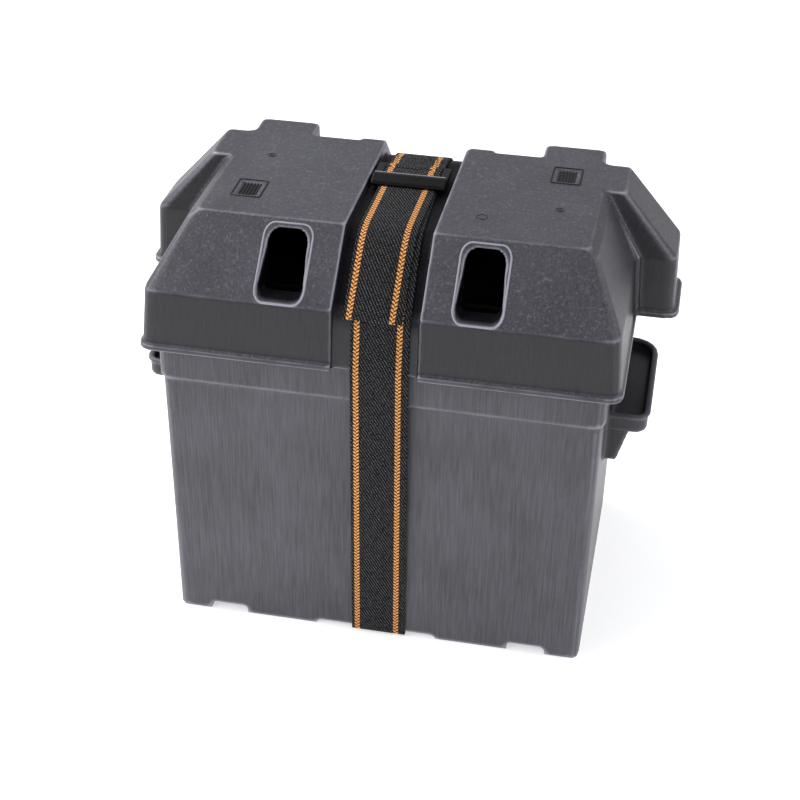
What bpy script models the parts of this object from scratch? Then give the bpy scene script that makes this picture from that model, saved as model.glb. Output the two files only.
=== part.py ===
"""Battery box for a caravan: a strapped tub and lid, with the deep-cycle battery that it carries.

Units are metres and +Z is up. X runs along the box, -Y is its front, and the origin is the middle of
its footprint on the ground. Each object is one solid piece, named as a person would name it.
"""

import math

import bmesh
import bpy

GAP = 0.0003  # clearance kept between pieces that touch
DEEP = 0.05  # how far a cutter runs past the surface that it opens

# Tub
TUB_HALF = (0.140, 0.096)  # at the ground
TUB_LEAN = 0.0014  # outward draft from the ground up to the rim band
TUB_CORNER = 0.007
TUB_WALL = 0.003
BASE_TOP = 0.009
BASE_RECESS = 0.006
BAND_BOTTOM = 0.188
BAND_STEP = 0.0020
RIM_TOP = 0.2162
RIM_HALF = (0.149, 0.105)
RIM_THICK = 0.003
FOOT_NOTCH = (0.091, 0.1165)
INNER_FOOT = (0.0425, 0.088)
STRAP_RELIEF = (0.041, 0.003)  # half width and height of the passage under the base

# Carry handles, one at each end
HANDLE_REACH = 0.1692
HANDLE_HALF = 0.052
HANDLE_CORNERS = (0.010, 0.019)  # at the front and at the back
HANDLE_TOP = 0.1712
HANDLE_SKIRT = 0.158
HANDLE_WEB = (0.1615, 0.1645)
HANDLE_WALL = 0.0026
GUSSET_FOOT = (0.150, 0.133)

# Lid
LID_BOTTOM = 0.214
LID_HALF = (0.1527, 0.1087)
LIP_HEIGHT = 0.0032
LIP_REACH = 0.0022
SHOULDER_Z = 0.2543
SHOULDER_HALF = (0.1479, 0.1039)
TOP_Z = 0.2936
TOP_HALF = (0.1225, 0.0627)
CREST = (0.0057, 0.0041)  # the end slopes start with a rounded crest, this long and this deep
LID_WALL = 0.003
SEAT_Z = RIM_TOP + 2 * GAP
WING_REACH = 0.1745
WING_TOP_REACH = 0.1375
WING_Y = ((0.0062, 0.0578), (0.0085, 0.0570), (0.0200, 0.0615))  # front and back at foot, shoulder and top
WING_LIP = (0.1795, 0.0040, 0.0600)
WING_LIP_CORNER = 0.008
VENT_X = ((-0.077, -0.047), (0.046, 0.076))
VENT_Z = (0.2552, 0.2912)
VENT_FLOOR = 0.018  # how far the floor of a vent runs in
VENT_DEPTH = 0.030  # how far its sides and roof run in
VENT_CORNER = 0.006
VENT_TAPER = 0.0028
DUCT_WALL = 0.0024
HOOD_X = (0.0785, 0.1195)
HOOD_BACK = 0.084
RIDGE_X = (0.0285, 0.0455)
RIDGE_RISE = 0.0034
PANEL_AT = ((-0.0985, -0.0275), (0.0975, 0.0365))
PANEL_HALF = (0.0070, 0.0092)
PANEL_DEPTH = 0.0012

# Strap and buckle. The route is the line that the underside of the webbing follows round the box.
WEBBING_WIDTH = 0.037
WEBBING_THICK = 0.0014
CHANNEL_X = (-0.0278, 0.0268)
ROUTE_BASE = (0.0963, 0.0027)
ROUTE_SKIRT = (0.1040, 0.2140)
ROUTE_SHOULDER = (0.1000, 0.2505)
ROUTE_TOP = (0.0622, 0.2880)
CREST_ARC = 0.032  # how gently the channel and the webbing turn over the edge of the lid's top
CHANNEL_ARC = 0.009
WEBBING_ARC = 0.006
BASE_ARC = 0.0003
BAR_ARC = 0.0009  # where the webbing turns round a bar of the buckle
ROUTE_SPLIT = 0.206  # where the webbing passes from the tub's height to the lid's
REAR_X, FRONT_X = -0.0015, 0.0025  # the middle of the webbing behind and in front
TAIL_X = -0.0023  # the middle of the free end
TAIL_OVERHANG = 0.0030  # how far the free end runs past the lid's shoulder
BUCKLE_HALF = 0.024
LIP_BAR = (-0.0010, 0.0100, 0.2918, 0.2965)
MIDDLE_BAR = (0.0145, 0.0180, 0.2904, 0.2930)
REAR_BAR = (0.0245, 0.0280, 0.2899, 0.2930)  # the room that its webbing keeps round it
REAR_BAR_RADIUS = 0.0015
RAIL_Z = (0.2902, 0.2942)

# Battery
CASE_HALF = (0.1275, 0.084)
CASE_Z = (0.0093, 0.1920)
CASE_WALL = 0.003
CASE_FLOOR = 0.004
PARTITION = 0.0025
CELLS = 6
CELL_WIDTH = (2 * (CASE_HALF[0] - CASE_WALL) - (CELLS - 1) * PARTITION) / CELLS
COVER_HALF = (0.130, 0.0865)
COVER_Z = (0.1923, 0.2113)
COVER_ROOF = 0.004
PLATE_HALF_WIDTH = 0.071
PLATE_Z = (0.0210, 0.1480)
PLATE_PITCH = 0.0034
NEGATIVE_PLATES, POSITIVE_PLATES = 6, 5
NEGATIVE_THICK, POSITIVE_THICK = 0.0019, 0.0025
LEAF_THICK = 0.0006
LEAF_HALF_WIDTH = 0.0735
LEAF_Z = (0.0193, 0.1510)
REST_RIB = (0.035, 0.003, 0.0190)
BUS_Y = 0.055
BUS_Z = (0.1620, 0.1690)
BUS_HALF_WIDTH = 0.008
LINK_Z = 0.1770
LINK_RADIUS = 0.006
LINK_CLEAR = 0.0006  # from a partition to the lug beside it
LUG_TOP = 0.1845
LUG_THICK = 0.0035
FILLER_RADIUS = 0.0095
CAP_HALF = (0.0505, 0.0165)
CAP_HEIGHT = 0.0085
CAP_CORNER = 0.005
CAP_BEVEL = 0.0015
PLUG_CLEAR = 0.0006
POST_Y = -BUS_Y
POST_RADIUS = 0.0080
POST_COLLAR = (0.0120, 0.0030)  # radius and height
POST_HEIGHT = 0.017
STUD_RADIUS = 0.0040
STUD_BORE = 0.0043
NUT_HUB = (0.0070, 0.0058, 0.0080)  # radius at the foot and at the top, and height
NUT_WING = (
    (0.0045, 0.0015),
    (0.0125, 0.0060),
    (0.0150, 0.0115),
    (0.0125, 0.0130),
    (0.0095, 0.0110),
    (0.0048, 0.0070),
)  # the outline of a wing: distance from the stud, height above the hub's foot
NUT_WING_HALF = 0.0012

COLOURS = {
    "black_polypropylene": ((0.035, 0.035, 0.040), 0.50, 0.0),
    "black_webbing": ((0.012, 0.012, 0.012), 0.90, 0.0),
    "black_nylon": ((0.010, 0.010, 0.010), 0.40, 0.0),
    "battery_plastic": ((0.045, 0.048, 0.052), 0.45, 0.0),
    "grey_caps": ((0.060, 0.062, 0.066), 0.45, 0.0),
    "cast_lead": ((0.25, 0.25, 0.27), 0.45, 0.9),
    "lead_oxide": ((0.16, 0.06, 0.03), 0.90, 0.0),
    "sponge_lead": ((0.18, 0.18, 0.19), 0.80, 0.2),
    "separator_sheet": ((0.30, 0.30, 0.30), 0.80, 0.0),
    "stainless_steel": ((0.55, 0.55, 0.56), 0.30, 1.0),
}


def clear_scene():
    for old in list(bpy.data.objects):
        bpy.data.objects.remove(old)


def finish(name):
    """The Principled material of this name, made on first use."""
    if name in bpy.data.materials:
        return bpy.data.materials[name]
    colour, roughness, metallic = COLOURS[name]
    made = bpy.data.materials.new(name)
    made.use_nodes = True
    shader = made.node_tree.nodes["Principled BSDF"]
    shader.inputs["Base Color"].default_value = (*colour, 1)
    shader.inputs["Roughness"].default_value = roughness
    shader.inputs["Metallic"].default_value = metallic
    return made


def add(name, mesh_data, material, origin=(0, 0, 0)):
    """An object from a bmesh, with its origin where its joint or its middle is."""
    bmesh.ops.recalc_face_normals(mesh_data, faces=mesh_data.faces)
    bmesh.ops.translate(mesh_data, verts=mesh_data.verts, vec=[-value for value in origin])
    mesh = bpy.data.meshes.new(name)
    mesh_data.to_mesh(mesh)
    mesh_data.free()
    mesh.materials.append(finish(material))
    mesh.shade_smooth()
    mesh.set_sharp_from_angle(angle=math.radians(32))
    made = bpy.data.objects.new(name, mesh)
    made.location = origin
    bpy.context.scene.collection.objects.link(made)
    return made


def combine(target, operation, mesh_data):
    """Cut, join or keep a helper shape with an exact Boolean. Returns the helper."""
    helper = add(f"{target.name}_shape", mesh_data, target.data.materials[0].name)
    helper.hide_render = True
    helper.display_type = "WIRE"
    step = target.modifiers.new(operation.title(), "BOOLEAN")
    step.operation = operation
    step.solver = "EXACT"
    step.object = helper
    return helper


def ring(x, y, z, radius=0.0, steps=3):
    """Rounded rectangle at one height, anticlockwise from above. x and y are (low, high)."""
    if radius == 0:
        return [(x[1], y[0], z), (x[1], y[1], z), (x[0], y[1], z), (x[0], y[0], z)]
    corners = (
        (x[1] - radius, y[0] + radius, -90),
        (x[1] - radius, y[1] - radius, 0),
        (x[0] + radius, y[1] - radius, 90),
        (x[0] + radius, y[0] + radius, 180),
    )
    points = []
    for centre_x, centre_y, start in corners:
        for step in range(steps + 1):
            angle = math.radians(start + 90 * step / steps)
            points.append((centre_x + radius * math.cos(angle), centre_y + radius * math.sin(angle), z))
    return points


def centred(half, z, radius=0.0, steps=3):
    return ring((-half[0], half[0]), (-half[1], half[1]), z, radius, steps)


def loft(rings):
    """A closed solid through rings that have the same number of points."""
    made = bmesh.new()
    rows = [[made.verts.new(point) for point in points] for points in rings]
    count = len(rows[0])
    for low, high in zip(rows, rows[1:]):
        for k in range(count):
            made.faces.new((low[k], low[(k + 1) % count], high[(k + 1) % count], high[k]))
    made.faces.new(reversed(rows[0]))
    made.faces.new(rows[-1])
    return made


def box(x, y, z):
    return loft([ring(x, y, z[0]), ring(x, y, z[1])])


def along(axis, outline, start, end):
    """A closed solid that carries a flat outline from start to end along X, Y or Z."""
    place = {
        "X": lambda a, b, depth: (depth, a, b),
        "Y": lambda a, b, depth: (a, depth, b),
        "Z": lambda a, b, depth: (a, b, depth),
    }[axis]
    return loft([[place(a, b, depth) for a, b in outline] for depth in (start, end)])


def turned(profile, centre=(0, 0), segments=24):
    """A solid of revolution about Z from (radius, z) points listed from the bottom up."""
    return loft([[(x, y, z) for x, y in circle(centre, radius, segments)] for radius, z in profile])


def circle(centre, radius, segments):
    """A flat round outline."""
    angles = [2 * math.pi * k / segments for k in range(segments)]
    return [(centre[0] + radius * math.cos(a), centre[1] + radius * math.sin(a)) for a in angles]


def merge(*shapes):
    """One bmesh that holds several separate shapes."""
    whole = shapes[0]
    for shape in shapes[1:]:
        points = {vert: whole.verts.new(vert.co) for vert in shape.verts}
        for face in shape.faces:
            whole.faces.new([points[vert] for vert in face.verts])
        shape.free()
    return whole


def filleted(corners, radii, steps=4):
    """A polyline with an arc at each inner corner. Points are (y, z), and radii has one radius per arc."""
    line = [corners[0]]
    for before, corner, after, radius in zip(corners, corners[1:], corners[2:], radii):
        into = math.atan2(corner[1] - before[1], corner[0] - before[0])
        out = math.atan2(after[1] - corner[1], after[0] - corner[0])
        turn = math.remainder(out - into, 2 * math.pi)
        reach = radius * math.tan(abs(turn) / 2)
        side = math.copysign(math.pi / 2, turn)
        start = (corner[0] - reach * math.cos(into), corner[1] - reach * math.sin(into))
        middle = (start[0] + radius * math.cos(into + side), start[1] + radius * math.sin(into + side))
        for step in range(steps + 1):
            angle = into - side + turn * step / steps
            line.append((middle[0] + radius * math.cos(angle), middle[1] + radius * math.sin(angle)))
    line.append(corners[-1])
    return line


def shifted(line, distance):
    """The same line moved to its left by distance, with mitred corners."""
    moved = []
    for k, point in enumerate(line):
        before, after = line[max(k - 1, 0)], line[min(k + 1, len(line) - 1)]
        into = math.atan2(point[1] - before[1], point[0] - before[0]) if k else None
        out = math.atan2(after[1] - point[1], after[0] - point[0]) if k < len(line) - 1 else into
        into = out if into is None else into
        turn = math.remainder(out - into, 2 * math.pi)
        normal = into + turn / 2 + math.pi / 2
        reach = distance / math.cos(turn / 2)
        moved.append((point[0] + reach * math.cos(normal), point[1] + reach * math.sin(normal)))
    return moved


def band(line, low, high, sides):
    """A strip along a (y, z) line, between two distances to its left. sides gives (x0, x1) at a y."""
    rings = []
    for (inner_y, inner_z), (outer_y, outer_z) in zip(shifted(line, low), shifted(line, high)):
        x0, x1 = sides(inner_y)
        inner = [(x0, inner_y, inner_z), (x1, inner_y, inner_z)]
        outer = [(x1, outer_y, outer_z), (x0, outer_y, outer_z)]
        rings.append(inner + outer)
    return loft(rings)


def mirrored_x(span):
    return (-span[1], -span[0])


def both_ends(span):
    return (span, mirrored_x(span))


def tub_half(z, inset=0.0):
    lean = TUB_LEAN * z / BAND_BOTTOM
    return (TUB_HALF[0] + lean - inset, TUB_HALF[1] + lean - inset)


def make_tub():
    band_half = tub_half(BAND_BOTTOM, -BAND_STEP)
    flange_bottom = RIM_TOP - RIM_THICK
    tub = add(
        "box_tub",
        loft(
            [
                centred(tub_half(0), 0, TUB_CORNER),
                centred(tub_half(BAND_BOTTOM), BAND_BOTTOM, TUB_CORNER),
                centred(band_half, BAND_BOTTOM + BAND_STEP / 2, TUB_CORNER + BAND_STEP),
                centred(band_half, flange_bottom, TUB_CORNER + BAND_STEP),
                centred(RIM_HALF, flange_bottom + 0.0004, TUB_CORNER + BAND_STEP),
                centred(RIM_HALF, RIM_TOP, TUB_CORNER + BAND_STEP),
            ]
        ),
        "black_polypropylene",
    )
    make_handles(tub)
    inner_corner = TUB_CORNER - TUB_WALL
    hollow = loft(
        [
            centred(tub_half(BASE_TOP, TUB_WALL), BASE_TOP, inner_corner),
            centred(tub_half(RIM_TOP + DEEP, TUB_WALL), RIM_TOP + DEEP, inner_corner),
        ]
    )
    combine(tub, "DIFFERENCE", hollow)
    notch_reach = TUB_HALF[1] + DEEP
    for span in both_ends(FOOT_NOTCH):
        combine(tub, "DIFFERENCE", box(span, (-notch_reach, notch_reach), (-DEEP, BASE_RECESS)))
    relief, relief_top = STRAP_RELIEF
    combine(tub, "DIFFERENCE", box((-relief, relief), (-notch_reach, notch_reach), (-DEEP, relief_top)))
    under_wall = 0.004
    foot_y = TUB_HALF[1] - 2 * under_wall
    corner_foot = (FOOT_NOTCH[1] + under_wall, TUB_HALF[0] - under_wall)
    inner_foot = (INNER_FOOT[0] + under_wall, INNER_FOOT[1] - under_wall)
    for span in both_ends(corner_foot) + both_ends(inner_foot):
        combine(tub, "DIFFERENCE", box(span, (-foot_y, foot_y), (-DEEP, BASE_RECESS)))
    strap_notch = (CHANNEL_X[0] - 0.004, CHANNEL_X[1] + 0.004)
    notch_depth = band_half[1] + 0.0006
    for y in ((-RIM_HALF[1] - DEEP, -notch_depth), (notch_depth, RIM_HALF[1] + DEEP)):
        combine(tub, "DIFFERENCE", box(strap_notch, y, (BAND_BOTTOM, RIM_TOP + DEEP)))
    return tub


def tongue(near_x, far_x, half_y, inset, z, steps=5):
    """A flat outline that sticks out along +X, square where it meets the wall and round at its far corners."""
    front_radius, back_radius = [corner - inset for corner in HANDLE_CORNERS]
    points = [(near_x, -half_y, z)]
    corners = ((front_radius, front_radius - half_y, -90), (back_radius, half_y - back_radius, 0))
    for radius, corner_y, start in corners:
        for step in range(steps + 1):
            angle = math.radians(start + 90 * step / steps)
            x = far_x - radius + radius * math.cos(angle)
            points.append((x, corner_y + radius * math.sin(angle), z))
    return points + [(near_x, half_y, z)]


def make_handles(tub):
    """A tray with a rolled rim at each end, carried on two gussets, that fingers hook from below."""
    root_x = TUB_HALF[0] - 0.0005
    rim = 0.0015
    skirt = (root_x, HANDLE_REACH - rim, HANDLE_HALF - rim, rim)
    edge = (root_x, HANDLE_REACH, HANDLE_HALF, 0)
    body = [
        tongue(*skirt, HANDLE_SKIRT),
        tongue(*skirt, HANDLE_TOP - 0.0032),
        tongue(*edge, HANDLE_TOP - 0.0024),
        tongue(*edge, HANDLE_TOP),
    ]
    inside = (
        TUB_HALF[0] + TUB_LEAN + 0.002,
        HANDLE_REACH - rim - HANDLE_WALL,
        HANDLE_HALF - rim - HANDLE_WALL,
        rim + HANDLE_WALL,
    )
    tray = [tongue(*inside, z) for z in (HANDLE_WEB[1], HANDLE_TOP + 0.010)]
    grip = [tongue(*inside, z) for z in (HANDLE_SKIRT - 0.010, HANDLE_WEB[0])]
    gusset = [
        (root_x, HANDLE_WEB[0] + 0.001),
        (HANDLE_REACH - 0.011, HANDLE_WEB[0] + 0.001),
        (GUSSET_FOOT[0], GUSSET_FOOT[1]),
        (root_x, GUSSET_FOOT[1]),
    ]
    gusset_y = (HANDLE_HALF - 0.0045 - HANDLE_WALL, HANDLE_HALF - 0.0045)
    sides = [[[(x, y, z) for x, z in gusset] for y in span] for span in (gusset_y, mirrored_x(gusset_y))]
    for turn in (list, mirrored_rings):
        combine(tub, "UNION", loft(turn(body)))
        combine(tub, "DIFFERENCE", loft(turn(tray)))
        combine(tub, "DIFFERENCE", loft(turn(grip)))
        for side in sides:
            combine(tub, "UNION", loft(turn(side)))


def wing(x_low, inset, bottom):
    """One end wing, grown by -inset. The lip round its foot is left out of the hollow."""
    rings = []
    if not inset:
        lip = ((x_low, WING_LIP[0]), WING_LIP[1:])
        rings = [ring(*lip, LID_BOTTOM, WING_LIP_CORNER), ring(*lip, LID_BOTTOM + LIP_HEIGHT, WING_LIP_CORNER)]
        bottom = LID_BOTTOM + LIP_HEIGHT + 0.0012
    top = TOP_Z - inset
    corner = max(0.006 - inset, 0.003)
    heights = (bottom, SHOULDER_Z - 0.7 * inset, top)
    reaches = (WING_REACH + 0.0013 - inset, WING_REACH - inset, WING_TOP_REACH - 0.7 * inset)
    for z, reach, (y0, y1), radius in zip(heights, reaches, WING_Y, (corner, corner, 0.003)):
        rings.append(ring((x_low, reach), (y0 + inset, y1 - inset), z, radius))
    return rings


def mirrored_rings(rings):
    return [[(-x, y, z) for x, y, z in reversed(points)] for points in rings]


def channel_line():
    """The floor of the strap channel, from the back of the lid over the top to the front."""
    back = [(ROUTE_SKIRT[0], LID_BOTTOM - DEEP), ROUTE_SKIRT, ROUTE_SHOULDER, ROUTE_TOP]
    radii = (CHANNEL_ARC, CHANNEL_ARC, CREST_ARC)
    return filleted(back + mirror_line(list(reversed(back))), radii + tuple(reversed(radii)), 5)


def make_lid():
    corner = 0.0075
    lip_top = LID_BOTTOM + LIP_HEIGHT
    foot_half = (LID_HALF[0] - LIP_REACH, LID_HALF[1] - LIP_REACH)
    crest_half = (TOP_HALF[0] + CREST[0], TOP_HALF[1] + CREST[1] * 1.05)
    lid = add(
        "box_lid",
        loft(
            [
                centred(LID_HALF, LID_BOTTOM, corner + LIP_REACH),
                centred(LID_HALF, lip_top, corner + LIP_REACH),
                centred(foot_half, lip_top + 0.0012, corner),
                centred(SHOULDER_HALF, SHOULDER_Z, corner),
                centred(crest_half, TOP_Z - CREST[1], 0.004),
                centred(TOP_HALF, TOP_Z, 0.003),
            ]
        ),
        "black_polypropylene",
    )
    wing_shape = wing(0.100, 0, 0)
    hood_x = (HOOD_X[0] - 0.0015, HOOD_X[1] + 0.0015)
    hood_shape = [
        ring(hood_x, (0.050, HOOD_BACK + 0.0010), SHOULDER_Z, 0.004),
        ring(HOOD_X, (0.050, HOOD_BACK), TOP_Z, 0.004),
    ]
    ridge_line = [
        (0.055, TOP_Z),
        (TOP_HALF[1] + RIDGE_RISE, TOP_Z),
        (SHOULDER_HALF[1] + RIDGE_RISE, SHOULDER_Z),
        (SHOULDER_HALF[1] + RIDGE_RISE, SHOULDER_Z - 0.006),
        (0.095, SHOULDER_Z - 0.010),
        (0.055, TOP_Z - 0.020),
    ]
    for rings in (wing_shape, mirrored_rings(wing_shape), hood_shape, mirrored_rings(hood_shape)):
        combine(lid, "UNION", loft(rings))
    for span in both_ends(RIDGE_X):
        combine(lid, "UNION", along("X", ridge_line, *span))
    combine(lid, "DIFFERENCE", make_lid_hollow())
    combine(lid, "DIFFERENCE", band(channel_line(), -DEEP, 0.0, lambda _y: CHANNEL_X))
    for span in VENT_X:
        combine(lid, "DIFFERENCE", vent_passage(span))
    for x, y in PANEL_AT:
        panel = ((x - PANEL_HALF[0], x + PANEL_HALF[0]), (y - PANEL_HALF[1], y + PANEL_HALF[1]))
        combine(lid, "DIFFERENCE", box(*panel, (TOP_Z - PANEL_DEPTH, TOP_Z + DEEP)))
    return lid


def vent_passage(span):
    """The way in through a vent: upright at the slope and a little narrower inside."""
    front_y = -SHOULDER_HALF[1]
    rings = []
    deep_y = front_y + VENT_DEPTH
    places = ((front_y - DEEP, 0.0), (front_y, 0.0), (deep_y, VENT_TAPER), (deep_y + 0.015, VENT_TAPER))
    for y, inset in places:
        outline = ring((span[0] + inset, span[1] - inset), (VENT_Z[0], VENT_Z[1] - inset), y, VENT_CORNER)
        rings.append([(x, y, z) for x, z, _ in outline])
    return loft(rings)


def make_lid_hollow():
    """The inside of the lid as a solid: its rooms, less the walls that stand round the channel and vents."""
    seat_half = (RIM_HALF[0] + 0.0009, RIM_HALF[1] + 0.0009)
    room_half = (SHOULDER_HALF[0] - LID_WALL, SHOULDER_HALF[1] - LID_WALL)
    wall_slope = LID_WALL * 0.7
    hollow = add(
        "lid_hollow",
        loft(
            [
                centred(seat_half, LID_BOTTOM - DEEP, 0.006),
                centred(seat_half, SEAT_Z, 0.006),
                centred(room_half, SEAT_Z + 0.0004, 0.005),
                centred(room_half, SHOULDER_Z - wall_slope, 0.005),
                centred((TOP_HALF[0] - 0.001, TOP_HALF[1] - 0.0012), TOP_Z - LID_WALL, 0.003),
            ]
        ),
        "black_polypropylene",
    )
    wing_room = wing(0.090, LID_WALL, LID_BOTTOM - DEEP)
    hood_room_x = (HOOD_X[0] + LID_WALL, HOOD_X[1] - LID_WALL)
    hood_room = [
        ring(hood_room_x, (0.045, HOOD_BACK - LID_WALL + 0.001), SHOULDER_Z - 0.005, 0.002),
        ring(hood_room_x, (0.045, HOOD_BACK - LID_WALL), TOP_Z - LID_WALL, 0.002),
    ]
    for rings in (wing_room, mirrored_rings(wing_room), hood_room, mirrored_rings(hood_room)):
        combine(hollow, "UNION", loft(rings))
    wall_sides = (CHANNEL_X[0] - LID_WALL, CHANNEL_X[1] + LID_WALL)
    combine(hollow, "DIFFERENCE", band(channel_line(), -DEEP, LID_WALL, lambda _y: wall_sides))
    for span in VENT_X:
        duct_x = (span[0] - DUCT_WALL, span[1] + DUCT_WALL)
        duct_z = (VENT_Z[0] - DUCT_WALL, VENT_Z[1] + DUCT_WALL)
        duct = [(x, z) for x, z, _ in ring(duct_x, duct_z, 0, 0.008)]
        front_y = -SHOULDER_HALF[1]
        combine(hollow, "DIFFERENCE", along("Y", duct, front_y - DEEP, front_y + VENT_DEPTH))
        below_sides = (span[0] + VENT_TAPER, span[1] - VENT_TAPER)
        below_y = (front_y + VENT_FLOOR, front_y + VENT_DEPTH + 0.005)
        combine(hollow, "UNION", box(below_sides, below_y, (duct_z[0] - 0.004, VENT_Z[0] + VENT_CORNER)))
    hollow.hide_render = True
    hollow.display_type = "WIRE"
    return hollow_to_mesh(hollow)


def hollow_to_mesh(hollow):
    """The evaluated shape as a bmesh, so that it can be one cutter."""
    bpy.context.view_layer.update()
    evaluated = hollow.evaluated_get(bpy.context.evaluated_depsgraph_get())
    made = bmesh.new()
    made.from_mesh(evaluated.to_mesh())
    evaluated.to_mesh_clear()
    return made


def webbing_sides(middle):
    half = WEBBING_WIDTH / 2
    return lambda y: (middle(y) - half, middle(y) + half)


def drifting(start_y, end_y, start_x=REAR_X, end_x=FRONT_X):
    """The webbing lies a little askew: its middle moves sideways between two places along its run."""

    def middle(y):
        share = min(max((start_y - y) / (start_y - end_y), 0), 1)
        return start_x + (end_x - start_x) * share

    return middle


def mirror_line(points):
    return [(-y, z) for y, z in points]


def on_drop(z):
    """The point of the webbing's straight drop beside the tub at a height."""
    share = (z - ROUTE_BASE[1]) / (ROUTE_SKIRT[1] - ROUTE_BASE[1])
    return (ROUTE_BASE[0] + share * (ROUTE_SKIRT[0] - ROUTE_BASE[0]), z)


def webbing(name, line, middle, lift=GAP):
    """A length of webbing whose underside lies at a distance to the outer side of a line."""
    return add(name, band(line, -lift - WEBBING_THICK, -lift, webbing_sides(middle)), "black_webbing")


def make_strap():
    """One length of webbing round the box. It is divided where it passes from one moving piece to another."""
    drop = [on_drop(ROUTE_SPLIT), ROUTE_BASE]
    under = filleted(mirror_line(drop) + list(reversed(drop)), (BASE_ARC, BASE_ARC), 2)
    webbing("strap_under_box", under, drifting(ROUTE_BASE[0], -ROUTE_BASE[0]))
    climb = [on_drop(ROUTE_SPLIT + GAP), ROUTE_SKIRT, ROUTE_SHOULDER, ROUTE_TOP]
    front = list(reversed(mirror_line(climb)))
    buckle_y = MIDDLE_BAR[0] - 0.0005
    askew = drifting(buckle_y, -ROUTE_SHOULDER[0])
    arcs = (CREST_ARC, WEBBING_ARC, WEBBING_ARC)
    front_line = filleted([(MIDDLE_BAR[1] + 0.0025, ROUTE_TOP[1])] + front, arcs, 5)
    webbing("strap_front", front_line, askew)
    past = TAIL_OVERHANG / math.dist(ROUTE_TOP, ROUTE_SHOULDER)
    free_end = [low + past * (low - high) for low, high in zip(front[1], front[0])]
    tail = [(buckle_y, ROUTE_TOP[1]), front[0], free_end]
    tail_askew = drifting(buckle_y, -ROUTE_SHOULDER[0], REAR_X, TAIL_X)
    webbing("strap_tail", filleted(tail, (CREST_ARC,), 5), tail_askew, 2 * GAP + WEBBING_THICK)
    make_rear_webbing(climb)
    make_buckle_loop()


def make_rear_webbing(climb):
    """The sewn end: round the rear bar of the buckle, and back over itself for the seam."""
    clear = GAP + WEBBING_THICK / 2
    front_y, back_y, low_z, high_z = REAR_BAR
    floor_z = ROUTE_TOP[1] + clear
    seam_z = floor_z + GAP + WEBBING_THICK
    turn = [
        (back_y + 0.020, seam_z),
        (back_y + 0.007, seam_z),
        (back_y + clear - 0.0008, high_z + clear),
        (front_y - clear, high_z + clear),
        (front_y - clear, low_z - clear),
        (back_y, floor_z - 0.0001),
    ]
    rise = filleted(climb + [(back_y, ROUTE_TOP[1])], (WEBBING_ARC, WEBBING_ARC, CREST_ARC), 5)
    run = list(reversed(rise))
    half = WEBBING_THICK / 2
    line = filleted(turn, (BAR_ARC,) * 4, 3) + shifted(run, clear)[1:]
    add("strap_rear", band(line, -half, half, webbing_sides(lambda _y: REAR_X)), "black_webbing")


def make_buckle_loop():
    """The turn of webbing over the buckle's middle bar, which tips up with the buckle."""
    clear = GAP + WEBBING_THICK / 2
    front_y, back_y, _, high_z = MIDDLE_BAR
    floor_z = ROUTE_TOP[1] + GAP + WEBBING_THICK
    line = [
        (back_y + clear, floor_z + GAP),
        (back_y + clear, high_z + clear),
        (front_y - clear, high_z + clear),
        (front_y - clear, floor_z + 2 * GAP + WEBBING_THICK),
    ]
    half = WEBBING_THICK / 2
    sides = webbing_sides(lambda _y: REAR_X)
    loop = band(filleted(line, (BAR_ARC, BAR_ARC), 3), -half, half, sides)
    add("strap_buckle_loop", loop, "black_webbing", buckle_axis())


def buckle_axis():
    return (REAR_X, (REAR_BAR[0] + REAR_BAR[1]) / 2, (REAR_BAR[2] + REAR_BAR[3]) / 2)


def make_buckle():
    """Ladder-lock buckle: two rails, three bars, and a raised thumb lip. It tips about its rear bar."""
    inner = WEBBING_WIDTH / 2 + 0.0005
    lip_y0, lip_y1, lip_z0, lip_z1 = LIP_BAR
    lip = [
        (lip_y0, lip_z0),
        (lip_y1, lip_z0),
        (lip_y1, lip_z1 - 0.0006),
        (lip_y1 - 0.0008, lip_z1),
        (lip_y1 - 0.0030, lip_z1),
        (lip_y0 + 0.0012, lip_z0 + 0.0026),
        (lip_y0, lip_z0 + 0.0012),
    ]
    whole = (REAR_X - BUCKLE_HALF, REAR_X + BUCKLE_HALF)
    between = (REAR_X - inner - 0.001, REAR_X + inner + 0.001)
    buckle = add("strap_buckle", along("X", lip, *whole), "black_nylon")
    for side in (-1, 1):
        rail_x = sorted((REAR_X + side * inner, REAR_X + side * BUCKLE_HALF))
        combine(buckle, "UNION", box(rail_x, (lip_y0 + 0.002, REAR_BAR[1] + 0.0012), RAIL_Z))
    y0, y1, z0, z1 = MIDDLE_BAR
    combine(buckle, "UNION", box(between, (y0, y1), (z0, z1)))
    combine(buckle, "UNION", along("X", circle(buckle_axis()[1:], REAR_BAR_RADIUS, 12), *between))
    move_origin(buckle, buckle_axis())


def move_origin(piece, point):
    """Put an object's origin on its joint's axis and leave its shape where it is."""
    for vert in piece.data.vertices:
        vert.co = [value - centre for value, centre in zip(vert.co, point)]
    piece.location = point


def cell_middle(cell):
    return -CASE_HALF[0] + CASE_WALL + CELL_WIDTH / 2 + cell * (CELL_WIDTH + PARTITION)


def positive_side(cell):
    """The positive bus bar lies in front in even cells and behind in odd ones, so links are short."""
    return -1 if cell % 2 == 0 else 1


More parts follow.
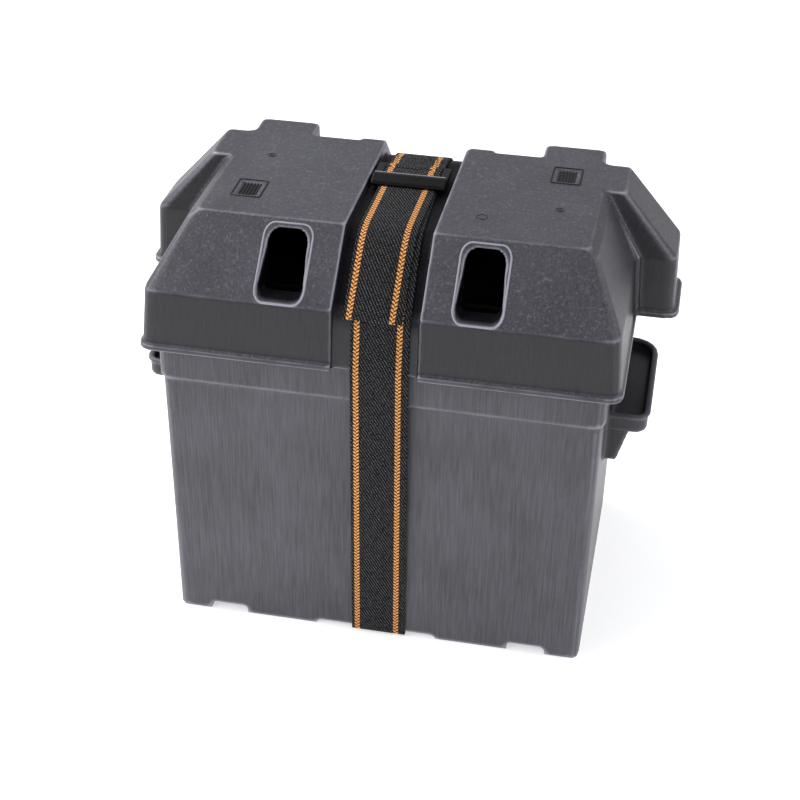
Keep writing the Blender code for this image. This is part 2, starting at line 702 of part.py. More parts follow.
def make_battery_case():
    case = add(
        "battery_case",
        loft([centred(CASE_HALF, z, 0.004, 2) for z in CASE_Z]),
        "battery_plastic",
    )
    room_y = (-CASE_HALF[1] + CASE_WALL, CASE_HALF[1] - CASE_WALL)
    for cell in range(CELLS):
        middle = cell_middle(cell)
        room_x = (middle - CELL_WIDTH / 2, middle + CELL_WIDTH / 2)
        combine(case, "DIFFERENCE", box(room_x, room_y, (CASE_Z[0] + CASE_FLOOR, CASE_Z[1] + DEEP)))
    rib_y, rib_half, rib_top = REST_RIB
    for side in (-1, 1):
        rib = (side * rib_y - rib_half / 2, side * rib_y + rib_half / 2)
        rib_x = (-CASE_HALF[0] + CASE_WALL / 2, CASE_HALF[0] - CASE_WALL / 2)
        combine(case, "UNION", box(rib_x, rib, (CASE_Z[0] + CASE_FLOOR / 2, rib_top)))
    for cell in range(CELLS - 1):
        combine(case, "DIFFERENCE", link_shape(cell, LINK_RADIUS + GAP, PARTITION * 2))


def link_place(cell):
    """The middle of the link between a cell and the next one."""
    x = cell_middle(cell) + (CELL_WIDTH + PARTITION) / 2
    return (x, -positive_side(cell) * BUS_Y, LINK_Z)


def link_shape(cell, radius, length):
    x, y, z = link_place(cell)
    return along("X", circle((y, z), radius, 16), x - length / 2, x + length / 2)


def make_cover():
    """Cover with a ribbed underside that closes each cell, six filler holes and two post holes."""
    low, high = COVER_Z
    cover = add(
        "battery_cover",
        loft([centred(COVER_HALF, low, 0.005, 2), centred(COVER_HALF, high, 0.005, 2)]),
        "battery_plastic",
    )
    room_y = (-CASE_HALF[1] + CASE_WALL, CASE_HALF[1] - CASE_WALL)
    for cell in range(CELLS):
        middle = cell_middle(cell)
        room_x = (middle - CELL_WIDTH / 2, middle + CELL_WIDTH / 2)
        combine(cover, "DIFFERENCE", box(room_x, room_y, (low - DEEP, high - COVER_ROOF)))
        hole = turned([(FILLER_RADIUS, low), (FILLER_RADIUS, high + DEEP)], (middle, 0), 20)
        combine(cover, "DIFFERENCE", hole)
    for end in (0, CELLS - 1):
        post_hole = POST_RADIUS + GAP
        hole = turned([(post_hole, low), (post_hole, high + DEEP)], (cell_middle(end), POST_Y), 20)
        combine(cover, "DIFFERENCE", hole)


def make_vent_caps():
    """Two gang caps: a bar with a finger ledge and three plugs that push into the filler holes."""
    base = COVER_Z[1] + GAP
    for name, cells in (("vent_cap_left", (0, 1, 2)), ("vent_cap_right", (3, 4, 5))):
        middle = cell_middle(cells[1])
        rings = []
        for height, inset in ((0.0, 0.0), (CAP_HEIGHT - CAP_BEVEL, 0.0), (CAP_HEIGHT, CAP_BEVEL)):
            x = (middle - CAP_HALF[0] + inset, middle + CAP_HALF[0] - inset)
            y = (-CAP_HALF[1] + inset, CAP_HALF[1] - inset)
            rings.append(ring(x, y, base + height, CAP_CORNER - inset))
        cap = add(name, loft(rings), "grey_caps")
        radius = FILLER_RADIUS - PLUG_CLEAR
        plug_end = COVER_Z[0] + 0.004
        plug = [(radius - 0.0010, plug_end), (radius, plug_end + 0.002), (radius, base + 0.002)]
        for cell in cells:
            combine(cap, "UNION", turned(plug, (cell_middle(cell), 0), 20))
        move_origin(cap, (middle, 0, base))


def make_terminals():
    """Cast posts that rise from the end cells, each with a stud and a wing nut."""
    ends = (("positive", cell_middle(0)), ("negative", cell_middle(CELLS - 1)))
    base = COVER_Z[1] + GAP
    post_top = base + POST_HEIGHT
    collar_radius, collar_height = POST_COLLAR
    for polarity, x in ends:
        grow = 0.0008 if polarity == "positive" else 0.0
        profile = [
            (POST_RADIUS, BUS_Z[1] + GAP),
            (POST_RADIUS, base),
            (collar_radius, base + 0.0001),
            (collar_radius, base + collar_height),
            (POST_RADIUS + 0.0010 + grow, base + collar_height + 0.0006),
            (POST_RADIUS + 0.0002 + grow, post_top),
        ]
        post = add(f"{polarity}_post", turned(profile, (x, POST_Y)), "cast_lead")
        stud_bottom = base + 0.006
        bore = turned([(STUD_BORE, stud_bottom), (STUD_BORE, post_top + DEEP)], (x, POST_Y), 16)
        combine(post, "DIFFERENCE", bore)
        stud_top = post_top + 0.015
        chamfer = 0.0009
        stud = [
            (STUD_RADIUS, stud_bottom + GAP),
            (STUD_RADIUS, stud_top - chamfer),
            (STUD_RADIUS - chamfer, stud_top),
        ]
        add(f"{polarity}_stud", turned(stud, (x, POST_Y), 16), "stainless_steel")
        make_wing_nut(f"{polarity}_wing_nut", x, post_top + GAP)


def make_wing_nut(name, x, base):
    """A hub with two raised wings. Its origin is on the stud's axis, which it turns about."""
    foot_radius, top_radius, height = NUT_HUB
    hub = [(foot_radius, base), (foot_radius, base + 0.0010), (top_radius, base + height)]
    nut = add(name, turned(hub, (x, POST_Y)), "stainless_steel")
    for side in (-1, 1):
        outline = [(x + side * reach, base + rise) for reach, rise in NUT_WING]
        combine(nut, "UNION", along("Y", outline, POST_Y - NUT_WING_HALF, POST_Y + NUT_WING_HALF))
    bore = turned([(STUD_BORE, base - DEEP), (STUD_BORE, base + DEEP)], (x, POST_Y), 16)
    combine(nut, "DIFFERENCE", bore)
    move_origin(nut, (x, POST_Y, base))


def plate_outline(side):
    """A plate seen along X, with its lug at the front (side -1) or the back (side 1)."""
    low, high = PLATE_Z
    lug = sorted((side * (BUS_Y - 0.006), side * (BUS_Y + 0.006)))
    lug_top = BUS_Z[0] + 0.002
    return [
        (-PLATE_HALF_WIDTH, low),
        (PLATE_HALF_WIDTH, low),
        (PLATE_HALF_WIDTH, high),
        (lug[1], high),
        (lug[1], lug_top),
        (lug[0], lug_top),
        (lug[0], high),
        (-PLATE_HALF_WIDTH, high),
    ]


def bus_outline(cell, toward):
    """The cast bar that joins a group's lugs, seen along Y, with the lug that a link meets."""
    middle = cell_middle(cell)
    half = PLATE_PITCH * (NEGATIVE_PLATES - 1) + 0.001
    if toward == 0:
        low, high = BUS_Z
        return [(middle - half, low), (middle + half, low), (middle + half, high), (middle - half, high)]
    face = middle + toward * (CELL_WIDTH / 2 - LINK_CLEAR)
    return [
        (middle - toward * half, BUS_Z[0]),
        (face, BUS_Z[0]),
        (face, LUG_TOP),
        (face - toward * LUG_THICK, LUG_TOP),
        (face - toward * (LUG_THICK + 0.001), BUS_Z[1]),
        (middle - toward * half, BUS_Z[1]),
    ]


def make_plate_group(cell, polarity):
    positive = polarity == "positive"
    side = positive_side(cell) if positive else -positive_side(cell)
    count = POSITIVE_PLATES if positive else NEGATIVE_PLATES
    thick = POSITIVE_THICK if positive else NEGATIVE_THICK
    toward = -1 if positive else 1
    if (positive and cell == 0) or (not positive and cell == CELLS - 1):
        toward = 0
    middle = cell_middle(cell)
    plates = []
    for k in range(count):
        x = middle + PLATE_PITCH * (2 * k - (count - 1))
        plates.append(along("X", plate_outline(side), x - thick / 2, x + thick / 2))
    material = "lead_oxide" if positive else "sponge_lead"
    group = add(f"cell_{cell + 1}_{polarity}_plates", merge(*plates), material)
    bar_y = sorted((side * (BUS_Y - BUS_HALF_WIDTH), side * (BUS_Y + BUS_HALF_WIDTH)))
    combine(group, "UNION", along("Y", bus_outline(cell, toward), *bar_y))


def make_separator(cell):
    """One leaf folded back and forth, so that it lies between each plate and the next."""
    middle = cell_middle(cell)
    gaps = NEGATIVE_PLATES + POSITIVE_PLATES - 1
    line = []
    for k in range(gaps):
        x = middle + PLATE_PITCH * (k - (gaps - 1) / 2)
        ends = (-LEAF_HALF_WIDTH, LEAF_HALF_WIDTH) if k % 2 == 0 else (LEAF_HALF_WIDTH, -LEAF_HALF_WIDTH)
        line += [(x, y) for y in ends]
    half = LEAF_THICK / 2
    outline = shifted(line, -half) + list(reversed(shifted(line, half)))
    add(f"cell_{cell + 1}_separator", along("Z", outline, *LEAF_Z), "separator_sheet")


def make_battery():
    make_battery_case()
    make_cover()
    make_vent_caps()
    make_terminals()
    for cell in range(CELLS):
        make_plate_group(cell, "positive")
        make_plate_group(cell, "negative")
        make_separator(cell)
    link_length = PARTITION + 2 * LINK_CLEAR - 2 * GAP
    for cell in range(CELLS - 1):
        link = add(f"cell_link_{cell + 1}", link_shape(cell, LINK_RADIUS, link_length), "cast_lead")
        move_origin(link, link_place(cell))


clear_scene()
make_tub()
make_lid()
make_strap()
make_buckle()
make_battery()
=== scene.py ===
# %% [markdown]
# # A strapped battery box
# On the real object, a tub and a lid of black polypropylene hold one deep-cycle battery, and a strap of
# woven webbing keeps them shut. The solids arrive ready made in a shared frame, in metres. This lesson
# gives each of them its finish, and builds a finer copy where the plain solid is too sharp or too stiff.

# %% Load the frame
import math

import bmesh
import bpy
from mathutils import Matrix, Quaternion, Vector


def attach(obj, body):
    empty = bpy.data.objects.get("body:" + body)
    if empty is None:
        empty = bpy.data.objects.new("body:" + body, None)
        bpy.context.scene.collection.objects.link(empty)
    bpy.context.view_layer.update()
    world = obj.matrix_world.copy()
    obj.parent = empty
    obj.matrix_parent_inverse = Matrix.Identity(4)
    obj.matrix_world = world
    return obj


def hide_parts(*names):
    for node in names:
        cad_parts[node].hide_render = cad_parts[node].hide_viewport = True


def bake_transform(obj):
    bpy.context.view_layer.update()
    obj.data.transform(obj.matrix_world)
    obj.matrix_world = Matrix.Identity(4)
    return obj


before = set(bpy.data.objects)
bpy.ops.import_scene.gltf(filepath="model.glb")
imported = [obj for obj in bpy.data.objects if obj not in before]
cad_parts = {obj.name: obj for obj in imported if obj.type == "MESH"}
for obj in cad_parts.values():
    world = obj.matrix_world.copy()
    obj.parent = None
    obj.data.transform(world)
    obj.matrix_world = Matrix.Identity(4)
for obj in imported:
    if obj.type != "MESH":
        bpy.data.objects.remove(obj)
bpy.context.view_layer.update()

print("solids in the frame:", len(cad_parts))

# %% [markdown]
# ## Two small helpers
# Paint makers give colours as sRGB hex values, and Blender's nodes work in linear light, so one function
# turns the first into the second. A second function adds a node with its options, values and wires. With
# those two, each finish further down reads like a recipe.


# %% Colours and nodes
def linear(text):
    """An sRGB hex colour as linear red, green, blue and alpha."""
    parts = [int(text[k : k + 2], 16) / 255 for k in (1, 3, 5)]
    return (*[p / 12.92 if p <= 0.04045 else ((p + 0.055) / 1.055) ** 2.4 for p in parts], 1.0)


def put(tree, kind, wires=None, values=None, **options):
    """Add a node: options are its own settings, values fill sockets, wires join sockets to other nodes."""
    made = tree.nodes.new(kind)
    for name, option in options.items():
        setattr(made, name, option)
    for socket, value in (values or {}).items():
        made.inputs[socket].default_value = value
    for socket, source in (wires or {}).items():
        tree.links.new(getattr(source, "outputs", [source])[0], made.inputs[socket])
    return made


def new_finish(name, sockets):
    """A material with one Principled shader, whose even values are set here."""
    material = bpy.data.materials.new(name)
    material.use_nodes = True
    tree = material.node_tree
    tree.nodes.clear()
    shader = put(tree, "ShaderNodeBsdfPrincipled", values=sockets)
    put(tree, "ShaderNodeOutputMaterial", {"Surface": shader})
    return material, tree, shader


def blend_colours(tree, share, low, high):
    """Mix two colours, or a colour and the result of another mix, by a share from 0 to 1."""
    mix = put(tree, "ShaderNodeMix", {0: share}, data_type="RGBA")
    for socket, colour in ((6, low), (7, high)):
        if isinstance(colour, str):
            mix.inputs[socket].default_value = linear(colour)
        else:
            tree.links.new(colour, mix.inputs[socket])
    return mix.outputs[2]


MM = 0.001
print("white is", [round(value, 3) for value in linear("#ffffff")])

# %% [markdown]
# ## Camera, light and floor
# A product picture of something black needs light from everywhere, because a black moulding is seen by
# what it reflects. A white surround does most of that, a wide soft box high on the left lifts the top
# faces, and two smaller ones at the front left and right draw bright lines on the edges.

# %% Camera
CAMERA_AZIMUTH, CAMERA_ELEVATION, CAMERA_ROLL = (
    math.radians(10.573), math.radians(32.644), math.radians(1.098)
)
CAMERA_TARGET = Vector((-0.44, -16.69, 140.0)) * MM
CAMERA_DISTANCE = 1135.8 * MM
CAMERA_LENS_MM = 74.74

back = Vector(
    (
        math.sin(CAMERA_AZIMUTH) * math.cos(CAMERA_ELEVATION),
        -math.cos(CAMERA_AZIMUTH) * math.cos(CAMERA_ELEVATION),
        math.sin(CAMERA_ELEVATION),
    )
)
camera_data = bpy.data.cameras.new("camera")
camera_data.lens = CAMERA_LENS_MM
camera_data.clip_start = 0.01
camera = bpy.data.objects.new("camera", camera_data)
camera.location = CAMERA_TARGET + back * CAMERA_DISTANCE
camera.rotation_mode = "QUATERNION"
camera.rotation_quaternion = (-back).to_track_quat("-Z", "Y") @ Quaternion((0, 0, 1), CAMERA_ROLL)
bpy.context.scene.collection.objects.link(camera)
bpy.context.scene.camera = camera
print("camera at", [round(value, 3) for value in camera.location])

# %% Floor, surround and soft boxes
SURROUND_STRENGTH, PAPER_GLOW = 0.55, 0.50
LIGHT_AIM = (0, 0, 0.2)
FLOOR = 6.0
bpy.context.scene.view_settings.view_transform = "Standard"
world = bpy.data.worlds.new("white_surround")
bpy.context.scene.world = world
world.use_nodes = True
world.node_tree.nodes["Background"].inputs["Color"].default_value = linear("#f8faff")
world.node_tree.nodes["Background"].inputs["Strength"].default_value = SURROUND_STRENGTH


def soft_box(name, place, size, watts):
    """A square area light that faces the middle of the object."""
    data = bpy.data.lights.new(name, "AREA")
    data.size = size
    data.energy = watts
    lamp = bpy.data.objects.new(name, data)
    lamp.location = place
    lamp.rotation_mode = "QUATERNION"
    lamp.rotation_quaternion = (Vector(LIGHT_AIM) - Vector(place)).to_track_quat("-Z", "Y")
    bpy.context.scene.collection.objects.link(lamp)


soft_box("upper_left_box", (-0.85, 0.25, 1.15), size=0.9, watts=14)
soft_box("front_left_box", (-1.0, -0.9, 1.0), size=0.5, watts=5)
soft_box("right_box", (1.4, -0.1, 1.0), size=0.5, watts=5)

floor_mesh = bpy.data.meshes.new("floor")
floor_mesh.from_pydata(
    [(-FLOOR, -FLOOR, 0), (FLOOR, -FLOOR, 0), (FLOOR, FLOOR, 0), (-FLOOR, FLOOR, 0)], [], [(0, 1, 2, 3)]
)
floor = bpy.data.objects.new("floor", floor_mesh)
bpy.context.scene.collection.objects.link(floor)
white_paper, paper_tree, paper = new_finish(
    "matt_white_lit_paper",
    {
        "Roughness": 0.9, "Specular IOR Level": 0.1, "Emission Color": (1, 1, 1, 1),
        "Emission Strength": PAPER_GLOW,
    },
)
paper_fibre = put(paper_tree, "ShaderNodeTexNoise", values={"Scale": 3.0})
paper_tree.links.new(blend_colours(paper_tree, paper_fibre, "#fbfbfb", "#ffffff"), paper.inputs["Base Color"])
floor_mesh.materials.append(white_paper)
print("floor", 2 * FLOOR, "m wide, finish:", white_paper.name)

# %% [markdown]
# ## Finish: moulded black polypropylene
# Polypropylene for boxes is filled with carbon black and moulded in a tool with a fine spark-eroded
# grain. It comes out satin, a dark grey with a touch of violet, and it marks easily. So the recipe is
# clouds of slightly different grey about 45 mm wide, fine upright flow lines, pale rubbed specks, and a
# few slanting scratches. The flow lines are drawn about 1.2 mm wide, coarser than real, so that they show.
# Specks and scratches gather on the faces that look up, and every outer edge is painted pale as a painted
# highlight, which the Pointiness of the surface finds. The tub's handles are painted darker than its walls,
# as painted shade.

# %% Moulded polypropylene
CLOUD, SPECK, PATCH = 45 * MM, 2.2 * MM, 38 * MM
FLOW = (1.2 * MM, 1.2 * MM, 26 * MM)
SCRATCH = (1.0 * MM, 1.3 * MM, 11 * MM)
# Painted shade on the tub's handles: where it starts and is full, out from the middle, and how dark it is.
HANDLE_START, HANDLE_FULL = 142.0 * MM, 143.5 * MM
HANDLE_PAINTED_SHADE = (0.30, 0.30, 0.31, 1)


def polypropylene(name, dark, light, scuff, roughness):
    """Satin black moulding. The flow lines run up the walls, and turn into a fine grain on level faces."""
    material, tree, shader = new_finish(name, {"IOR": 1.49, "Specular IOR Level": 0.5})
    place = put(tree, "ShaderNodeTexCoord").outputs["Object"]
    clouds = put(tree, "ShaderNodeTexNoise", {"Vector": place}, {"Scale": 1 / CLOUD, "Detail": 3.0})
    upright = put(tree, "ShaderNodeMapping", {"Vector": place}, {"Scale": [1 / size for size in FLOW]})
    flow = put(
        tree, "ShaderNodeTexNoise", {"Vector": upright}, {"Scale": 1.0, "Detail": 3.0, "Roughness": 0.6}
    )
    specks = put(
        tree, "ShaderNodeTexNoise", {"Vector": place}, {"Scale": 1 / SPECK, "Detail": 4.0, "Roughness": 0.7}
    )
    slant = put(
        tree, "ShaderNodeMapping", {"Vector": place},
        {"Rotation": (0.4, 0.7, 0.5), "Scale": [1 / size for size in SCRATCH]},
    )
    scratches = put(tree, "ShaderNodeTexNoise", {"Vector": slant}, {"Scale": 1.0, "Detail": 1.0})
    patches = put(tree, "ShaderNodeTexNoise", {"Vector": place}, {"Scale": 1 / PATCH, "Detail": 1.0})
    faint = put(tree, "ShaderNodeMath", {0: clouds}, {1: 0.5, 2: 0.25}, operation="MULTIPLY_ADD")
    shade = put(tree, "ShaderNodeMath", {0: faint, 1: flow}, operation="ADD")
    shade = put(tree, "ShaderNodeMapRange", {"Value": shade}, {"From Min": 0.78, "From Max": 1.22})
    rubbed = put(tree, "ShaderNodeMapRange", {"Value": specks}, {"From Min": 0.54, "From Max": 0.74})
    cut = put(tree, "ShaderNodeMapRange", {"Value": scratches}, {"From Min": 0.68, "From Max": 0.76})
    where = put(tree, "ShaderNodeMapRange", {"Value": patches}, {"From Min": 0.45, "From Max": 0.60})
    cut = put(tree, "ShaderNodeMath", {0: cut, 1: where}, operation="MULTIPLY")
    marks = put(tree, "ShaderNodeMath", {0: rubbed, 1: cut}, operation="MAXIMUM")
    facing = put(tree, "ShaderNodeSeparateXYZ", {0: put(tree, "ShaderNodeNewGeometry").outputs["Normal"]})
    upward = put(tree, "ShaderNodeMath", {0: facing.outputs["Z"]}, operation="ABSOLUTE")
    scuffs_and_handle_shade = put(
        tree, "ShaderNodeMapRange", {"Value": upward},
        {"From Min": 0.25, "From Max": 0.6, "To Min": 0.2 * scuff, "To Max": scuff},
    )
    marks = put(tree, "ShaderNodeMath", {0: marks, 1: scuffs_and_handle_shade}, operation="MULTIPLY")
    colour = blend_colours(tree, shade, dark, light)
    colour = blend_colours(tree, marks, colour, "#8c8c94")
    # Painted highlight: every sharp edge, found by Pointiness, is blended towards pale grey.
    sharp = put(tree, "ShaderNodeNewGeometry").outputs["Pointiness"]
    edge = put(
        tree, "ShaderNodeMapRange", {"Value": sharp}, {"From Min": 0.507, "From Max": 0.535, "To Max": 0.8}
    )
    colour = blend_colours(tree, edge, colour, "#9a9aa4")
    gloss = put(
        tree, "ShaderNodeMapRange", {"Value": shade}, {"To Min": roughness - 0.05, "To Max": roughness + 0.07}
    )
    tree.links.new(gloss.outputs[0], shader.inputs["Roughness"])
    relief = put(tree, "ShaderNodeMath", {0: flow, 1: specks}, operation="ADD")
    bump = put(tree, "ShaderNodeBump", {"Height": relief}, {"Strength": 0.5, "Distance": 0.16 * MM})
    tree.links.new(bump.outputs[0], shader.inputs["Normal"])
    return material, tree, shader, colour


tub_plastic, tree, shader, colour = polypropylene(
    "moulded_polypropylene_tub", "#333238", "#525159", 0.25, 0.40
)
# Painted shade: the tub is multiplied darker out at its handles, which sit in shade.
spot = put(tree, "ShaderNodeSeparateXYZ", {0: put(tree, "ShaderNodeTexCoord").outputs["Object"]})
sideways = put(tree, "ShaderNodeMath", {0: spot.outputs["X"]}, operation="ABSOLUTE")
scuffs_and_handle_shade = put(
    tree, "ShaderNodeMapRange", {"Value": sideways}, {"From Min": HANDLE_START, "From Max": HANDLE_FULL}
)
colour = put(
    tree, "ShaderNodeMix", {0: scuffs_and_handle_shade, 6: colour}, {7: HANDLE_PAINTED_SHADE}, data_type="RGBA",
    blend_type="MULTIPLY",
).outputs[2]
tree.links.new(colour, shader.inputs["Base Color"])
print("tub finish with", len(tree.nodes), "nodes")

# %% [markdown]
# The lid is the same plastic, but its walls are painted darker than its level and sloping faces, as
# painted shade. The direction that a face looks in tells them apart. The floor of the strap's channel is
# painted darkest, as painted shade beside and under the webbing.

# %% Rubbed polypropylene of the lid, with painted shade
# Painted shade: how dark the lid's walls are made, and where the channel floor is made dark.
WALL_PAINTED_SHADE = (0.30, 0.30, 0.31, 1)
CHANNEL_MIDDLE, CHANNEL_HALF = -0.5 * MM, 27.0 * MM
CHANNEL_START, CHANNEL_FULL = 240 * MM, 256 * MM

lid_plastic, tree, shader, colour = polypropylene(
    "moulded_polypropylene_lid", "#323137", "#4b4a51", 0.40, 0.40
)
facing = put(tree, "ShaderNodeSeparateXYZ", {0: put(tree, "ShaderNodeNewGeometry").outputs["Normal"]})
upward = put(tree, "ShaderNodeMath", {0: facing.outputs["Z"]}, operation="ABSOLUTE")
# Painted shade: faces that look sideways, the walls, are multiplied darker.
wall_shade_share = put(
    tree, "ShaderNodeMapRange", {"Value": upward},
    {"From Min": 0.25, "From Max": 0.55, "To Min": 1.0, "To Max": 0.0},
)
colour = put(
    tree, "ShaderNodeMix", {0: wall_shade_share, 6: colour}, {7: WALL_PAINTED_SHADE}, data_type="RGBA", blend_type="MULTIPLY"
).outputs[2]
# Painted shade on the floor of the strap's channel: inside its width, from CHANNEL_START upwards.
spot = put(tree, "ShaderNodeSeparateXYZ", {0: put(tree, "ShaderNodeTexCoord").outputs["Object"]})
sideways = put(tree, "ShaderNodeMath", {0: spot.outputs["X"]}, {1: CHANNEL_MIDDLE}, operation="SUBTRACT")
sideways = put(tree, "ShaderNodeMath", {0: sideways}, operation="ABSOLUTE")
inside = put(tree, "ShaderNodeMath", {0: sideways}, {1: CHANNEL_HALF}, operation="LESS_THAN")
above = put(
    tree, "ShaderNodeMapRange", {"Value": spot.outputs["Z"]},
    {"From Min": CHANNEL_START, "From Max": CHANNEL_FULL},
)
painted_shade_share = put(tree, "ShaderNodeMath", {0: inside, 1: above}, operation="MULTIPLY")
print("lid finish with", len(tree.nodes), "nodes so far")

# %% [markdown]
# The passages behind the two vents get the same painted shade. A point belongs to one when it is near a
# vent's middle and lies deeper than the plane of the front slope.

# %% Painted shade in the passages behind the vents
VENT_MIDDLE, VENT_REACH = Vector((61.5, -85.0, 273.5)) * MM, Vector((15.8, 27.0, 19.0)) * MM
SLOPE_NORMAL, SLOPE_PLANE = (0.0, -0.690, 0.7236), 255.7 * MM
PASSAGE_PAINTED_SHADE = (0.12, 0.12, 0.13, 1)
across = put(tree, "ShaderNodeMath", {0: spot.outputs["X"]}, operation="ABSOLUTE")
near = None
for source, middle, reach in zip((across, spot.outputs["Y"], spot.outputs["Z"]), VENT_MIDDLE, VENT_REACH):
    within = put(tree, "ShaderNodeMath", {0: source}, {1: middle, 2: reach}, operation="COMPARE")
    near = put(tree, "ShaderNodeMath", {0: near, 1: within}, operation="MULTIPLY") if near else within
rise = put(
    tree, "ShaderNodeVectorMath", {0: put(tree, "ShaderNodeTexCoord").outputs["Object"]}, {1: SLOPE_NORMAL},
    operation="DOT_PRODUCT",
)
deep = put(
    tree, "ShaderNodeMapRange", {"Value": rise.outputs["Value"]},
    {"From Min": SLOPE_PLANE - 4.0 * MM, "From Max": SLOPE_PLANE - 0.8 * MM, "To Min": 1.0, "To Max": 0.0},
)
# Painted shade: points deep inside a vent's passage are multiplied darker.
passage_shade_share = put(tree, "ShaderNodeMath", {0: near, 1: deep}, operation="MULTIPLY")
painted_shade_share = put(tree, "ShaderNodeMath", {0: painted_shade_share, 1: passage_shade_share}, operation="MAXIMUM")
colour = put(
    tree, "ShaderNodeMix", {0: painted_shade_share, 6: colour}, {7: PASSAGE_PAINTED_SHADE}, data_type="RGBA",
    blend_type="MULTIPLY",
).outputs[2]
tree.links.new(colour, shader.inputs["Base Color"])
# The painted shade also lowers the specular level, so the shaded channel floor and passages reflect less.
shade_specular_level = put(tree, "ShaderNodeMapRange", {"Value": painted_shade_share}, {"To Min": 0.45, "To Max": 0.06})
tree.links.new(shade_specular_level.outputs[0], shader.inputs["Specular IOR Level"])

# Painted highlight: a pale copy of the plastic for the thin vent lips.
pale_highlight_plastic, tree, shader, colour = polypropylene(
    "polypropylene_painted_highlight", "#85858e", "#a9a9b3", 0.3, 0.32
)
tree.links.new(colour, shader.inputs["Base Color"])
print("finishes:", tub_plastic.name, lid_plastic.name, pale_highlight_plastic.name)

# %% [markdown]
# ## Finish: woven webbing
# The strap is polypropylene webbing, black, with two orange stripes of braided yarn let into it. The
# pattern must follow the strap round every bend, so it reads a map that the strap carries: across the
# strap in metres in one direction, and along it in the other. Black yarns cross every 2.0 mm by 1.7 mm,
# and each crossing is painted pale grey as a painted glint. The orange yarns lean left and right in turn,
# as in a plait, and are painted dark in the plait's valleys and pale on its crests, as painted shade and
# highlight.

# %% Woven webbing
WEAVE_ACROSS, WEAVE_ALONG = 2.0 * MM, 1.7 * MM
STRIPES = (-14.6 * MM, 12.2 * MM)
STRIPE_HALF, STRIPE_WAVER = 1.75 * MM, 0.16 * MM
PLAIT = 2.6 * MM

webbing_finish, tree, shader = new_finish(
    "woven_black_webbing_orange_stripes",
    {"Specular IOR Level": 0.12, "Sheen Weight": 0.03, "Sheen Roughness": 0.4},
)
strap_map = put(tree, "ShaderNodeUVMap", uv_map="UVMap")
split = put(tree, "ShaderNodeSeparateXYZ", {0: strap_map})
across, length = split.outputs["X"], split.outputs["Y"]
wave_across = put(tree, "ShaderNodeMath", {0: across}, {1: math.tau / WEAVE_ACROSS}, operation="MULTIPLY")
wave_length = put(tree, "ShaderNodeMath", {0: length}, {1: math.tau / WEAVE_ALONG}, operation="MULTIPLY")
half_step = put(tree, "ShaderNodeMath", {0: wave_length}, {1: 0.5}, operation="MULTIPLY")
lean = put(tree, "ShaderNodeMath", {0: wave_across, 1: half_step}, operation="ADD")
yarn_a = put(tree, "ShaderNodeMath", {0: lean}, operation="SINE")
yarn_b = put(tree, "ShaderNodeMath", {0: wave_length}, operation="SINE")
crossing = put(tree, "ShaderNodeMath", {0: yarn_a, 1: yarn_b}, operation="MULTIPLY")
crossing = put(tree, "ShaderNodeMapRange", {"Value": crossing}, {"From Min": -0.9, "From Max": 0.9})
fuzz = put(tree, "ShaderNodeTexNoise", {"Vector": strap_map}, {"Scale": 1 / (0.7 * MM), "Detail": 3.0})
# Painted glint: each crossing of the black yarns is blended towards pale grey.
glint = put(tree, "ShaderNodeMath", {0: crossing, 1: fuzz}, operation="MULTIPLY")
glint = put(tree, "ShaderNodeMapRange", {"Value": glint}, {"From Min": 0.37, "From Max": 0.50})
black_yarn = blend_colours(tree, glint, "#030304", "#747477")

stripe_masks, plait_heights = [], []
for middle in STRIPES:
    aside = put(tree, "ShaderNodeMath", {0: across}, {1: middle}, operation="SUBTRACT")
    distance = put(tree, "ShaderNodeMath", {0: aside}, operation="ABSOLUTE")
    edge = put(
        tree, "ShaderNodeMath", {0: yarn_b}, {1: STRIPE_WAVER, 2: STRIPE_HALF}, operation="MULTIPLY_ADD"
    )
    stripe_masks.append(put(tree, "ShaderNodeMath", {0: distance, 1: edge}, operation="LESS_THAN"))
    right_half = put(tree, "ShaderNodeMath", {0: aside}, {1: 0.0}, operation="GREATER_THAN")
    stagger = put(
        tree, "ShaderNodeMath", {0: right_half, 2: length}, {1: PLAIT / 2}, operation="MULTIPLY_ADD"
    )
    chevron = put(tree, "ShaderNodeMath", {0: distance, 2: stagger}, {1: 0.7}, operation="MULTIPLY_ADD")
    turns = put(tree, "ShaderNodeMath", {0: chevron}, {1: math.tau / PLAIT}, operation="MULTIPLY")
    plait_heights.append(put(tree, "ShaderNodeMath", {0: turns}, operation="SINE"))
in_stripe = put(tree, "ShaderNodeMath", {0: stripe_masks[0], 1: stripe_masks[1]}, operation="MAXIMUM")
plait = put(
    tree, "ShaderNodeMix", {0: stripe_masks[1], 2: plait_heights[0], 3: plait_heights[1]}, data_type="FLOAT"
)
plait = put(tree, "ShaderNodeMapRange", {"Value": plait}, {"From Min": -0.7, "From Max": 0.5})
# Painted shade and highlight: the orange is dark in the plait's valleys and pale on its crests.
orange_yarn = blend_colours(tree, plait, "#3c1f0e", "#f4ac66")
yarns = blend_colours(tree, in_stripe, black_yarn, orange_yarn)
tree.links.new(yarns, shader.inputs["Base Color"])
height = put(tree, "ShaderNodeMix", {0: in_stripe, 2: crossing, 3: plait}, data_type="FLOAT")
bump = put(tree, "ShaderNodeBump", {"Height": height}, {"Strength": 0.7, "Distance": 0.35 * MM})
tree.links.new(bump.outputs[0], shader.inputs["Normal"])
worn = put(tree, "ShaderNodeMapRange", {"Value": fuzz}, {"To Min": 0.55, "To Max": 0.8})
tree.links.new(worn.outputs[0], shader.inputs["Roughness"])
print("webbing finish with", len(tree.nodes), "nodes")

# %% [markdown]
# ## Finishes: buckle nylon and the battery's own materials
# The buckle is black nylon, harder and glossier than the box. Inside, the battery case is a slightly
# grey polypropylene, the vent caps a little lighter, the posts are cast lead that has dulled, and the
# wing nuts are stainless steel. Brown lead dioxide, grey sponge lead and pale separator leaves fill the
# cells.


